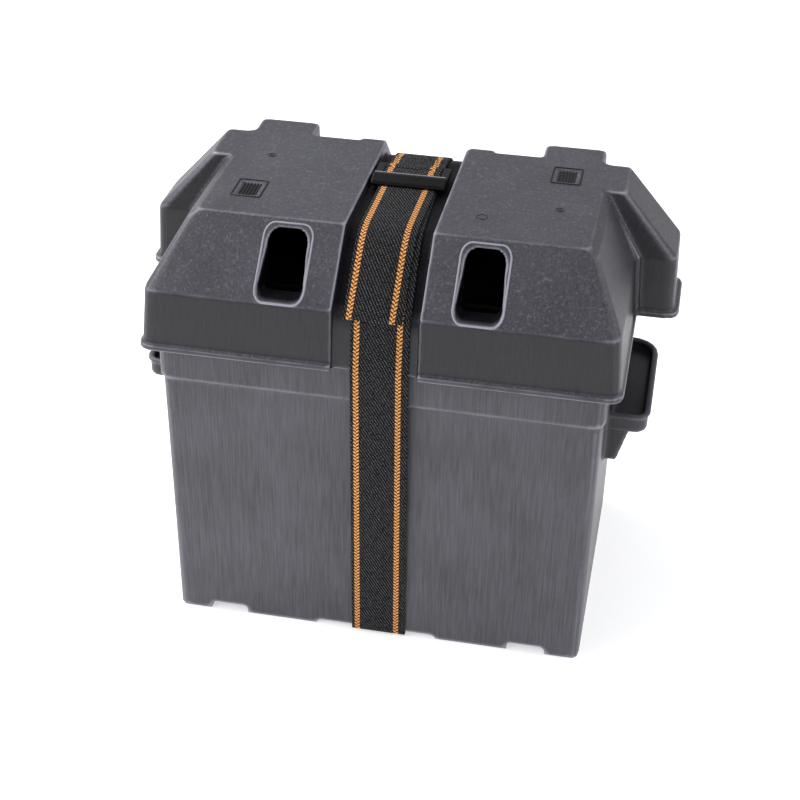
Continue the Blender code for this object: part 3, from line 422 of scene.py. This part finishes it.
# %% One recipe for the small mouldings and castings
def grained(name, dark, light, grain, bump_depth, roughness, metallic=0.0, specular=0.5):
    """A surface of two close colours in grains of one size, with a matching fine relief."""
    material, tree, shader = new_finish(name, {"Metallic": metallic, "Specular IOR Level": specular})
    place = put(tree, "ShaderNodeTexCoord").outputs["Object"]
    grains = put(
        tree, "ShaderNodeTexNoise", {"Vector": place}, {"Scale": 1 / grain, "Detail": 4.0, "Roughness": 0.6}
    )
    clouds = put(tree, "ShaderNodeTexNoise", {"Vector": place}, {"Scale": 1 / (20 * MM), "Detail": 2.0})
    both = put(tree, "ShaderNodeMath", {0: grains, 1: clouds}, operation="ADD")
    shade = put(tree, "ShaderNodeMapRange", {"Value": both}, {"From Min": 0.7, "From Max": 1.3})
    tree.links.new(blend_colours(tree, shade, dark, light), shader.inputs["Base Color"])
    gloss = put(
        tree, "ShaderNodeMapRange", {"Value": shade}, {"To Min": roughness - 0.07, "To Max": roughness + 0.07}
    )
    tree.links.new(gloss.outputs[0], shader.inputs["Roughness"])
    bump = put(tree, "ShaderNodeBump", {"Height": grains}, {"Strength": 0.3, "Distance": bump_depth})
    tree.links.new(bump.outputs[0], shader.inputs["Normal"])
    return material


buckle_nylon = grained("moulded_black_nylon", "#030303", "#070708", 0.8 * MM, 0.04 * MM, 0.30, 0.0, 0.22)
FINISHES = {
    "battery_plastic": grained(
        "moulded_grey_polypropylene_battery", "#1c1d1f", "#2a2b2e", 1.0 * MM, 0.08 * MM, 0.45
    ),
    "cap_plastic": grained(
        "moulded_dark_grey_polypropylene", "#222326", "#303135", 1.0 * MM, 0.06 * MM, 0.38
    ),
    "lead": grained("cast_dull_lead", "#6b6b70", "#8f8f95", 1.5 * MM, 0.15 * MM, 0.50, 0.9),
    "steel": grained("machined_stainless_steel", "#b0b0b2", "#d2d2d4", 0.5 * MM, 0.02 * MM, 0.28, 1.0),
    "positive_plate": grained("pasted_lead_dioxide", "#4a2116", "#65301f", 1.2 * MM, 0.2 * MM, 0.85),
    "negative_plate": grained("pasted_sponge_lead", "#5b5c5e", "#77787a", 1.2 * MM, 0.2 * MM, 0.75),
    "separator": grained("ribbed_separator_leaf", "#9a9a98", "#bcbcb8", 0.9 * MM, 0.1 * MM, 0.80),
}
print("battery finishes:", ", ".join(FINISHES))

# %% [markdown]
# The battery's solids are right as they are, because they hardly show under the lid. Each only takes the
# finish that its name asks for.

# %% Give the battery's solids their finishes
SLOT_OF = {
    "battery_case": "battery_plastic", "battery_cover": "battery_plastic",
    "vent_cap": "cap_plastic", "post": "lead", "link": "lead", "stud": "steel", "nut": "steel",
    "positive_plates": "positive_plate", "negative_plates": "negative_plate", "separator": "separator",
}
dressed = 0
for name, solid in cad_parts.items():
    slots = [slot for word, slot in SLOT_OF.items() if word in name]
    if slots:
        for place in solid.material_slots:
            place.material = FINISHES[slots[0]]
        dressed += 1
print("battery solids dressed:", dressed)

# %% [markdown]
# ## Shells with soft edges
# The solids of the tub and lid are exact but their edges are knife sharp, and on the real moulding every
# edge is a small radius that draws a bright line. A Bevel modifier fails where many Boolean cuts meet.
# Remeshing into small even cells, and then relaxing them a little, rounds every edge alike, inside and
# out. The flat faces are thinned again afterwards, because they need hardly any triangles.


# %% A helper that softens a solid
def mesh_of(shape, name):
    """Keep a working shape as a mesh."""
    mesh = bpy.data.meshes.new(name)
    shape.to_mesh(mesh)
    shape.free()
    return mesh


def linked(name, mesh):
    """Put a mesh or a curve in the scene."""
    made = bpy.data.objects.new(name, mesh)
    bpy.context.scene.collection.objects.link(made)
    return made


def settled(piece):
    """Turn an object and its modifiers into a plain mesh, and return the new object."""
    bpy.context.view_layer.update()
    graph = bpy.context.evaluated_depsgraph_get()
    mesh = bpy.data.meshes.new_from_object(
        piece.evaluated_get(graph), preserve_all_data_layers=True, depsgraph=graph
    )
    name = piece.name
    bpy.data.objects.remove(piece)
    return linked(name, mesh)


def softened(name, node, extras, cell, passes, triangles):
    """A copy of a solid, joined with extra shapes, whose edges are rounded by a few cells."""
    shape = bmesh.new()
    shape.from_mesh(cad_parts[node].data)
    bmesh.ops.remove_doubles(shape, verts=shape.verts, dist=1e-6)
    for extra in extras:
        shape.from_mesh(extra)
    piece = linked(name, mesh_of(shape, name))
    remesh = piece.modifiers.new("even_cells", "REMESH")
    remesh.mode = "VOXEL"
    remesh.voxel_size = cell
    relax = piece.modifiers.new("relax", "SMOOTH")
    relax.factor = 0.5
    relax.iterations = passes
    piece = settled(piece)
    fine = sum(len(face.vertices) - 2 for face in piece.data.polygons)
    thin = piece.modifiers.new("thin_the_flats", "DECIMATE")
    thin.ratio = min(1.0, triangles / fine)
    piece = settled(piece)
    piece.data.shade_smooth()
    weigh = piece.modifiers.new("flat_faces_lead", "WEIGHTED_NORMAL")
    weigh.keep_sharp = True
    piece = settled(piece)
    print(name, "cells", fine, "kept", len(piece.data.polygons))
    return piece


def route_curve(name, points):
    """A curve of straight pieces through points."""
    data = bpy.data.curves.new(name, "CURVE")
    data.dimensions = "3D"
    spline = data.splines.new("POLY")
    spline.points.add(len(points) - 1)
    for point, place in zip(spline.points, points):
        point.co = (*place, 1.0)
    return linked(name, data)


def tube(points, radius, closed=True):
    """A round bead that follows a line of points, as a closed mesh."""
    line = route_curve("bead", points)
    line.data.bevel_depth = radius
    line.data.bevel_resolution = 3
    line.data.use_fill_caps = True
    line.data.splines[0].use_cyclic_u = closed
    bead = settled(line)
    mesh = bead.data
    bpy.data.objects.remove(bead)
    return mesh


for node in ("box_lid", "box_tub"):
    print(node, "comes with", len(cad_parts[node].data.polygons), "faces")

# %% [markdown]
# ## The lid
# Two vents open in the front slope. Each has a thin rolled lip all round, which stands a little proud and
# is painted pale grey as a painted highlight. The lip is a bead that follows a rounded rectangle lying on
# the slope, half sunk.

# %% Vent lips
VENTS_X = ((-77 * MM, -47 * MM), (46 * MM, 76 * MM))
VENT_LOW, VENT_HIGH = 255.2 * MM, 291.2 * MM
VENT_CORNER = 6 * MM
SLOPE = ((103.9 * MM, 254.3 * MM), (67.0 * MM, 289.5 * MM), (62.7 * MM, 293.6 * MM))
LIP_RADIUS = 0.65 * MM
LIP_OUT = 0.5 * MM
LIP_SINK = 0.1 * MM


def slope_y(z):
    """How far forward the front slope stands at a height."""
    for (y0, z0), (y1, z1) in zip(SLOPE, SLOPE[1:]):
        if z <= z1 or (y1, z1) == SLOPE[-1]:
            return -(y0 + (y1 - y0) * (z - z0) / (z1 - z0))


def rounded_rectangle(low, high, radius, steps=6):
    """The outline of a rectangle with round corners, anticlockwise, as pairs."""
    corners = (
        (high[0] - radius, low[1] + radius, -90), (high[0] - radius, high[1] - radius, 0),
        (low[0] + radius, high[1] - radius, 90), (low[0] + radius, low[1] + radius, 180),
    )
    outline = []
    for x, y, start in corners:
        for step in range(steps + 1):
            angle = math.radians(start + 90 * step / steps)
            outline.append((x + radius * math.cos(angle), y + radius * math.sin(angle)))
    return outline


lip_shapes = bmesh.new()
for left, right in VENTS_X:
    outline = rounded_rectangle(
        (left - LIP_OUT, VENT_LOW - LIP_OUT), (right + LIP_OUT, VENT_HIGH), VENT_CORNER + LIP_OUT
    )
    lip_shapes.from_mesh(tube([(x, slope_y(z) + LIP_SINK, z - LIP_SINK) for x, z in outline], LIP_RADIUS))
vent_lips = linked("vent_lips", mesh_of(lip_shapes, "vent_lips"))
vent_lips.data.shade_smooth()
vent_lips.data.materials.append(pale_highlight_plastic)
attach(vent_lips, "lid")
print("vent lips:", len(VENTS_X))

# %% [markdown]
# In front of each end wing, the end slope finishes in a rolled edge that runs from the top of the lid down
# to its foot, with a dark groove behind it. It is a bead as well, and melts into the lid when both are
# remeshed together.

# %% Rolled edges in front of the wings
ROLL_RADIUS = 2.2 * MM
ROLL_ROUTE = ((122.8, 18.2, 291.4), (126.5, 16.6, 288.6), (149.0, 6.6, 254.6), (151.2, 4.4, 220.0))
rolls = []
for side in (-1, 1):
    route = [(side * x * MM, y * MM, z * MM) for x, y, z in ROLL_ROUTE]
    rolls.append(tube(route, ROLL_RADIUS, closed=False))
print("rolled edges:", len(rolls))

# %% Soften the lid and the tub
LID_CELL, TUB_CELL = 1.0 * MM, 1.3 * MM
SHELL_TRIANGLES = 190_000
lid = softened("lid_shell", "box_lid", rolls, LID_CELL, passes=6, triangles=SHELL_TRIANGLES)
lid.data.materials.append(lid_plastic)
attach(lid, "lid")
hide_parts("box_lid")

tub = softened("tub_shell", "box_tub", [], TUB_CELL, passes=4, triangles=SHELL_TRIANGLES)
tub.data.materials.append(tub_plastic)
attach(tub, "root")
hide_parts("box_tub")

# %% [markdown]
# ## Growing pieces with Geometry Nodes
# The strap is one section carried along a route, and the stitches and ribs are one small shape repeated.
# Geometry Nodes suit both, because the sizes stay as named inputs that can be changed later. A helper
# makes a tree with its inputs, and another runs a tree and keeps the result as a plain mesh.


# %% Helpers for Geometry Nodes
def new_tree(name, inputs):
    """A geometry tree with its named inputs. Returns it and the node that gives the inputs."""
    tree = bpy.data.node_groups.new(name, "GeometryNodeTree")
    tree.interface.new_socket("Geometry", in_out="INPUT", socket_type="NodeSocketGeometry")
    for label, kind in inputs.items():
        tree.interface.new_socket(label, in_out="INPUT", socket_type=f"NodeSocket{kind}")
    tree.interface.new_socket("Geometry", in_out="OUTPUT", socket_type="NodeSocketGeometry")
    return tree, put(tree, "NodeGroupInput").outputs


def grown(base, tree, values):
    """Run a tree on an object, and keep what it makes as a plain mesh."""
    step = base.modifiers.new(tree.name, "NODES")
    step.node_group = tree
    for item in tree.interface.items_tree:
        if item.in_out == "INPUT" and item.name in values:
            step[item.identifier] = values[item.name]
    piece = settled(base)
    print(piece.name, "has", len(piece.data.polygons), "faces")
    return piece


print("node trees before the first:", len(bpy.data.node_groups))

# %% A tree that weaves a strap along a route
EDGE_ROUNDING = 0.42  # of the webbing's thickness
strap_tree, given = new_tree(
    "strap_along_a_route", {"Width": "Float", "Thickness": "Float", "Spacing": "Float", "Finish": "Material"}
)
even = put(
    strap_tree, "GeometryNodeResampleCurve", {"Curve": given["Geometry"], "Length": given["Spacing"]},
    mode="LENGTH",
)
level = put(
    strap_tree, "GeometryNodeSetCurveNormal", {"Curve": even}, {"Normal": (1.0, 0.0, 0.0)}, mode="FREE"
)
run = put(strap_tree, "GeometryNodeSplineParameter")
mark_run = put(strap_tree, "GeometryNodeCaptureAttribute", {0: level})
mark_run.capture_items.new("FLOAT", "Run")
strap_tree.links.new(run.outputs["Length"], mark_run.inputs[1])
section = put(
    strap_tree, "GeometryNodeCurvePrimitiveQuadrilateral",
    {"Width": given["Width"], "Height": given["Thickness"]},
)
round_edge = put(
    strap_tree, "ShaderNodeMath", {0: given["Thickness"]}, {1: EDGE_ROUNDING}, operation="MULTIPLY"
)
section = put(
    strap_tree, "GeometryNodeFilletCurve", {"Curve": section, "Radius": round_edge}, {"Count": 3}, mode="POLY"
)
place = put(strap_tree, "GeometryNodeInputPosition")
place = put(strap_tree, "ShaderNodeSeparateXYZ", {0: place})
mark_section = put(strap_tree, "GeometryNodeCaptureAttribute", {0: section})
mark_section.capture_items.new("FLOAT", "Across")
strap_tree.links.new(place.outputs["X"], mark_section.inputs[1])
swept = put(
    strap_tree, "GeometryNodeCurveToMesh", {"Curve": mark_run, "Profile Curve": mark_section},
    {"Fill Caps": True},
)
map_place = put(strap_tree, "ShaderNodeCombineXYZ", {0: mark_section.outputs[1], 1: mark_run.outputs[1]})
mapped = put(
    strap_tree, "GeometryNodeStoreNamedAttribute", {"Geometry": swept, "Value": map_place}, {"Name": "UVMap"},
    data_type="FLOAT2", domain="CORNER",
)
whole = put(strap_tree, "GeometryNodeRealizeInstances", {0: mapped})
covered = put(strap_tree, "GeometryNodeSetMaterial", {"Geometry": whole, "Material": given["Finish"]})
put(strap_tree, "NodeGroupOutput", {0: covered})
print("strap tree with", len(strap_tree.nodes), "nodes")

# %% [markdown]
# ## The strap
# One length of webbing starts under the buckle, runs down the channel in the front of the lid, under the
# tub and up the back, and is sewn round the buckle's rear bar. Its route is a line of straight runs with
# an arc at each bend. It lies a little askew, so its middle drifts sideways on the way to the front. The
# free end comes back over the buckle and lies on top of the front run.

# %% Route of the webbing
GAP = 0.3 * MM
WEBBING_WIDTH, WEBBING_THICK = 37 * MM, 1.4 * MM
BASE, SKIRT = (96.3 * MM, 2.7 * MM), (104.0 * MM, 214.0 * MM)
SHOULDER, TOP = (100.0 * MM, 250.5 * MM), (62.2 * MM, 288.0 * MM)
REAR_X, FRONT_X, TAIL_X = -1.5 * MM, 2.5 * MM, -2.3 * MM
BUCKLE_Y = 14.0 * MM  # where the webbing turns over the buckle's middle bar
UNDER_BUCKLE_Y = 20.5 * MM
REAR_BAR_Y, REAR_BAR_Z = (24.5 * MM, 28.0 * MM), (289.9 * MM, 293.0 * MM)
SEAM_START, SEAM_END = 7 * MM, 20 * MM  # behind the rear bar
CLEAR = GAP + WEBBING_THICK / 2


def bent(corners, radii, steps=6):
    """A line through corners with an arc at each. Points are (y, z), and radii has one radius per arc."""
    line = [corners[0]]
    for before, corner, after, radius in zip(corners, corners[1:], corners[2:], radii):
        into = math.atan2(corner[1] - before[1], corner[0] - before[0])
        out = math.atan2(after[1] - corner[1], after[0] - corner[0])
        turn = math.remainder(out - into, math.tau)
        reach = radius * math.tan(abs(turn) / 2)
        side = math.copysign(math.pi / 2, turn)
        start = (corner[0] - reach * math.cos(into), corner[1] - reach * math.sin(into))
        middle = (start[0] + radius * math.cos(into + side), start[1] + radius * math.sin(into + side))
        for step in range(steps + 1):
            angle = into - side + turn * step / steps
            line.append((middle[0] + radius * math.cos(angle), middle[1] + radius * math.sin(angle)))
    line.append(corners[-1])
    return line


def offset(line, distance):
    """The same line moved to its right by a distance, with its corners kept."""
    moved = []
    for k, (y, z) in enumerate(line):
        before, after = line[max(k - 1, 0)], line[min(k + 1, len(line) - 1)]
        into = math.atan2(z - before[1], y - before[0]) if k else math.atan2(after[1] - z, after[0] - y)
        out = math.atan2(after[1] - z, after[0] - y) if k < len(line) - 1 else into
        turn = math.remainder(out - into, math.tau)
        normal = into + turn / 2 - math.pi / 2
        reach = distance / math.cos(turn / 2)
        moved.append((y + reach * math.cos(normal), z + reach * math.sin(normal)))
    return moved


def drift(y, start_y, end_y, end_x):
    """The strap's middle at a y, between the rear place at start_y and another at end_y."""
    share = min(max((start_y - y) / (start_y - end_y), 0), 1)
    return REAR_X + (end_x - REAR_X) * share


def main_x(y, z):
    """The strap's middle at a place on its route: it drifts above the skirt, and again under the tub."""
    if z > SKIRT[1]:
        return drift(y, BUCKLE_Y, -SHOULDER[0], FRONT_X)
    return drift(y, BASE[0], -BASE[0], FRONT_X)


CREST_ARC, FOLD_ARC, FOOT_ARC, BAR_ARC = 32 * MM, 6 * MM, 0.8 * MM, 0.9 * MM
front = [(-y, z) for y, z in (TOP, SHOULDER, SKIRT, BASE)]
rear = [BASE, SKIRT, SHOULDER, TOP]
ring_corners = [(UNDER_BUCKLE_Y, TOP[1]), *front, *rear, (REAR_BAR_Y[1], TOP[1])]
half_arcs = (CREST_ARC, FOLD_ARC, FOLD_ARC, FOOT_ARC)
round_box = offset(bent(ring_corners, (*half_arcs, *reversed(half_arcs))), CLEAR)
floor_z = TOP[1] + CLEAR
seam_z = floor_z + GAP + WEBBING_THICK
sewn = bent(
    [
        (REAR_BAR_Y[1], floor_z - 0.1 * MM),
        (REAR_BAR_Y[0] - CLEAR, REAR_BAR_Z[0] - CLEAR),
        (REAR_BAR_Y[0] - CLEAR, REAR_BAR_Z[1] + CLEAR),
        (REAR_BAR_Y[1] + CLEAR - 0.8 * MM, REAR_BAR_Z[1] + CLEAR),
        (REAR_BAR_Y[1] + SEAM_START, seam_z),
        (REAR_BAR_Y[1] + SEAM_END, seam_z),
    ],
    (BAR_ARC,) * 4,
    4,
)
main_route = [(main_x(y, z), y, z) for y, z in round_box[:-1] + sewn]

# %% Weave the strap
STRAP = {"Width": WEBBING_WIDTH, "Thickness": WEBBING_THICK, "Spacing": 1.5 * MM, "Finish": webbing_finish}
strap = grown(route_curve("strap_webbing", main_route), strap_tree, STRAP)
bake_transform(strap)
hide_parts("strap_under_box", "strap_front", "strap_rear")

# %% The free end
TAIL_LIFT = 2 * GAP + 1.5 * WEBBING_THICK
OVERHANG = 3 * MM
past = OVERHANG / math.dist(TOP, SHOULDER)
end = [low + past * (low - high) for low, high in zip(front[1], front[0])]
tail_line = offset(bent([(BUCKLE_Y, TOP[1]), front[0], end], (CREST_ARC,)), TAIL_LIFT)
tail_route = [(drift(y, BUCKLE_Y, -SHOULDER[0], TAIL_X), y, z) for y, z in tail_line]
tail = grown(route_curve("strap_free_end", tail_route), strap_tree, STRAP)
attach(tail, "lid")
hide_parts("strap_tail")

# %% [markdown]
# Between the two, the webbing comes up through the buckle, turns over its middle bar and goes back down.
# The turn belongs to the buckle and tips with it. It is loose, so its rear leg hangs 3.2 mm behind the bar.

# %% The turn over the buckle's middle bar
TURN_Y, MIDDLE_BAR_TOP = (14.5 * MM, 21.2 * MM), 293.0 * MM
loop_foot = TOP[1] + GAP + WEBBING_THICK
loop_line = bent(
    [
        (TURN_Y[1] + CLEAR, loop_foot + GAP),
        (TURN_Y[1] + CLEAR, MIDDLE_BAR_TOP + CLEAR),
        (TURN_Y[0] - CLEAR, MIDDLE_BAR_TOP + CLEAR),
        (TURN_Y[0] - CLEAR, loop_foot + 2 * GAP + WEBBING_THICK),
    ],
    (BAR_ARC, BAR_ARC),
    4,
)
loop_curve = route_curve("strap_buckle_turn", [(REAR_X, y, z) for y, z in loop_line])
loop = grown(loop_curve, strap_tree, {**STRAP, "Spacing": 0.4 * MM})
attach(loop, "buckle")
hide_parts("strap_buckle_loop")

# %% [markdown]
# ## The buckle
# The buckle is a ladder lock, one nylon moulding. Its edges are soft like the lid's but at a finer scale,
# so the same helper works with cells of about a third of a millimetre.

# %% Buckle
BUCKLE_CELL, BUCKLE_TRIANGLES = 0.35 * MM, 40_000
buckle = softened(
    "ladder_lock_buckle", "strap_buckle", [], BUCKLE_CELL, passes=3, triangles=BUCKLE_TRIANGLES
)
buckle.data.materials.append(buckle_nylon)
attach(buckle, "buckle")
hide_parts("strap_buckle")

# %% [markdown]
# The rear edge of the thumb lip carries a painted highlight: a thin pale bead along it, which stands a
# third of a millimetre proud.

# %% Painted highlight on the edge of the thumb lip
LIP_EDGE_Y, LIP_EDGE_Z, LIP_EDGE_HALF, EDGE_BEAD = 9.6 * MM, 296.4 * MM, 23.2 * MM, 0.45 * MM
edge_line = [(REAR_X + side * LIP_EDGE_HALF, LIP_EDGE_Y, LIP_EDGE_Z) for side in (-1, 1)]
lip_edge = linked("buckle_lip_edge", tube(edge_line, EDGE_BEAD, closed=False))
lip_edge.data.shade_smooth()
# Painted highlight: the bead is pale grey nylon.
lip_edge.data.materials.append(grained("nylon_painted_highlight", "#77777c", "#98989e", 0.8 * MM, 0.02 * MM, 0.22))
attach(lip_edge, "buckle")
print("shining edge:", round(2 * LIP_EDGE_HALF, 4), "m long")

# %% [markdown]
# ## Ribs in the two small panels
# Each half of the lid has a small framed field on top. A row of fine ribs fills it here. One rib is a
# small bar, the row is that bar repeated on a thin dark plate that stands for the shade in the field,
# and both are set down once for each panel. Ribs and plate are painted dark, as painted shade.

# %% Ribbed panels
PANELS = ((-98.5 * MM, -27.5 * MM), (97.5 * MM, 36.5 * MM))
PANEL_FLOOR = 292.4 * MM
panel_tree, given = new_tree(
    "ribs_in_a_panel",
    {"Ribs": "Int", "Pitch": "Float", "Rib Size": "Vector", "Field Size": "Vector", "Finish": "Material"},
)
step = put(panel_tree, "ShaderNodeCombineXYZ", {0: given["Pitch"]})
reach = put(panel_tree, "ShaderNodeMath", {0: given["Ribs"]}, {1: 1.0}, operation="SUBTRACT")
reach = put(panel_tree, "ShaderNodeMath", {0: reach, 1: given["Pitch"]}, operation="MULTIPLY")
reach = put(panel_tree, "ShaderNodeMath", {0: reach}, {1: -0.5}, operation="MULTIPLY")
first = put(panel_tree, "ShaderNodeCombineXYZ", {0: reach})
row = put(
    panel_tree, "GeometryNodeMeshLine", {"Count": given["Ribs"], "Start Location": first, "Offset": step}
)
rib = put(panel_tree, "GeometryNodeMeshCube", {"Size": given["Rib Size"]})
ribs = put(panel_tree, "GeometryNodeInstanceOnPoints", {"Points": row, "Instance": rib})
field = put(panel_tree, "GeometryNodeMeshCube", {"Size": given["Field Size"]})
filled = put(panel_tree, "GeometryNodeJoinGeometry", {0: field})
panel_tree.links.new(ribs.outputs[0], filled.inputs[0])
panels = put(panel_tree, "GeometryNodeInstanceOnPoints", {"Points": given["Geometry"], "Instance": filled})
whole = put(panel_tree, "GeometryNodeRealizeInstances", {0: panels})
covered = put(panel_tree, "GeometryNodeSetMaterial", {"Geometry": whole, "Material": given["Finish"]})
put(panel_tree, "NodeGroupOutput", {0: covered})

# Painted shade: ribs, the plate under them, frames and marks are all painted near black.
painted_shade_dark = grained("polypropylene_painted_shade", "#131315", "#222225", 1.0 * MM, 0.05 * MM, 0.45, 0.0, 0.25)
RIBS, RIB_PITCH = 6, 2.1 * MM
RIB_SIZE = (0.8 * MM, 17.6 * MM, 1.3 * MM)
FIELD_SIZE = (13.6 * MM, 18.0 * MM, 0.3 * MM)
centres = bmesh.new()
for x, y in PANELS:
    centres.verts.new((x, y, PANEL_FLOOR + FIELD_SIZE[2] / 2))
panel_ribs = grown(
    linked("panel_ribs", mesh_of(centres, "panel_ribs")), panel_tree,
    {
        "Ribs": RIBS, "Pitch": RIB_PITCH, "Rib Size": RIB_SIZE, "Field Size": FIELD_SIZE,
        "Finish": painted_shade_dark,
    },
)
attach(panel_ribs, "lid")

# %% [markdown]
# A low frame stands round each field. Nearby, the moulding tool has left round marks: one where the
# plastic was let in on each half, and a larger ring from a pin that pushed the lid out. All of them are
# thin beads laid half sunk on the top, painted dark as painted shade.

# %% Frames and round marks
TOP_LEVEL = 293.6 * MM
FRAME_HALF = (9.4 * MM, 12.0 * MM)
FRAME_CORNER = 0.8 * MM
FRAME_BEAD, MARK_BEAD = 0.55 * MM, 0.28 * MM
ROUND_MARKS = (
    (-97.7, 24.7, 2.6), (-97.7, 24.7, 1.2), (98.7, -14.3, 2.6), (98.7, -14.3, 1.2), (52.5, -35.0, 3.4)
)  # x, y and radius of each, in millimetres
MARK_SIDES = 20
beads = bmesh.new()
for x, y in PANELS:
    outline = rounded_rectangle(
        (x - FRAME_HALF[0], y - FRAME_HALF[1]), (x + FRAME_HALF[0], y + FRAME_HALF[1]), FRAME_CORNER, 2
    )
    beads.from_mesh(tube([(a, b, TOP_LEVEL) for a, b in outline], FRAME_BEAD))
for x, y, radius in ROUND_MARKS:
    angles = [math.tau * k / MARK_SIDES for k in range(MARK_SIDES)]
    spots = [((x + radius * math.cos(a)) * MM, (y + radius * math.sin(a)) * MM, TOP_LEVEL) for a in angles]
    beads.from_mesh(tube(spots, MARK_BEAD))
marks = linked("lid_frames_and_marks", mesh_of(beads, "lid_frames_and_marks"))
marks.data.shade_smooth()
marks.data.materials.append(painted_shade_dark)
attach(marks, "lid")
print("frames:", len(PANELS), "and rings of marks:", len(ROUND_MARKS))

# %% [markdown]
# ## Stitches
# The sewn end is fixed by rows of lockstitch across the strap. One stitch is a short fat thread end that
# shows between two needle holes, 3 mm apart.

# %% Stitches on the sewn end
STITCH_PITCH, THREAD_RADIUS, STITCH_SHAPE = 3 * MM, 0.35 * MM, (3.0, 1.0, 0.7)
STITCH_ROWS_Y = (37 * MM, 40 * MM, 43 * MM, 46 * MM)
STITCH_HALF = 15 * MM

stitch_tree, given = new_tree(
    "stitches_along_lines", {"Pitch": "Float", "Thread": "Float", "Finish": "Material"}
)
even = put(
    stitch_tree, "GeometryNodeResampleCurve", {"Curve": given["Geometry"], "Length": given["Pitch"]},
    mode="LENGTH",
)
direction = put(stitch_tree, "GeometryNodeInputTangent")
turn = put(stitch_tree, "FunctionNodeAlignRotationToVector", {"Vector": direction}, axis="X")
bead = put(stitch_tree, "GeometryNodeMeshIcoSphere", {"Radius": given["Thread"]}, {"Subdivisions": 2})
long_bead = put(stitch_tree, "GeometryNodeTransform", {"Geometry": bead}, {"Scale": STITCH_SHAPE})
sewn_row = put(
    stitch_tree, "GeometryNodeInstanceOnPoints", {"Points": even, "Instance": long_bead, "Rotation": turn}
)
whole = put(stitch_tree, "GeometryNodeRealizeInstances", {0: sewn_row})
covered = put(stitch_tree, "GeometryNodeSetMaterial", {"Geometry": whole, "Material": given["Finish"]})
put(stitch_tree, "NodeGroupOutput", {0: covered})

thread = grained("black_polyester_thread", "#141415", "#2c2c2e", 0.4 * MM, 0.05 * MM, 0.6)
stitch_z = seam_z + WEBBING_THICK / 2
lines = []
for k, y in enumerate(STITCH_ROWS_Y):
    side = 1 if k % 2 else -1
    lines += [(REAR_X + side * STITCH_HALF, y, stitch_z), (REAR_X - side * STITCH_HALF, y, stitch_z)]
stitches = grown(
    route_curve("seam_stitches", lines), stitch_tree,
    {"Pitch": STITCH_PITCH, "Thread": THREAD_RADIUS, "Finish": thread},
)
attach(stitches, "lid")
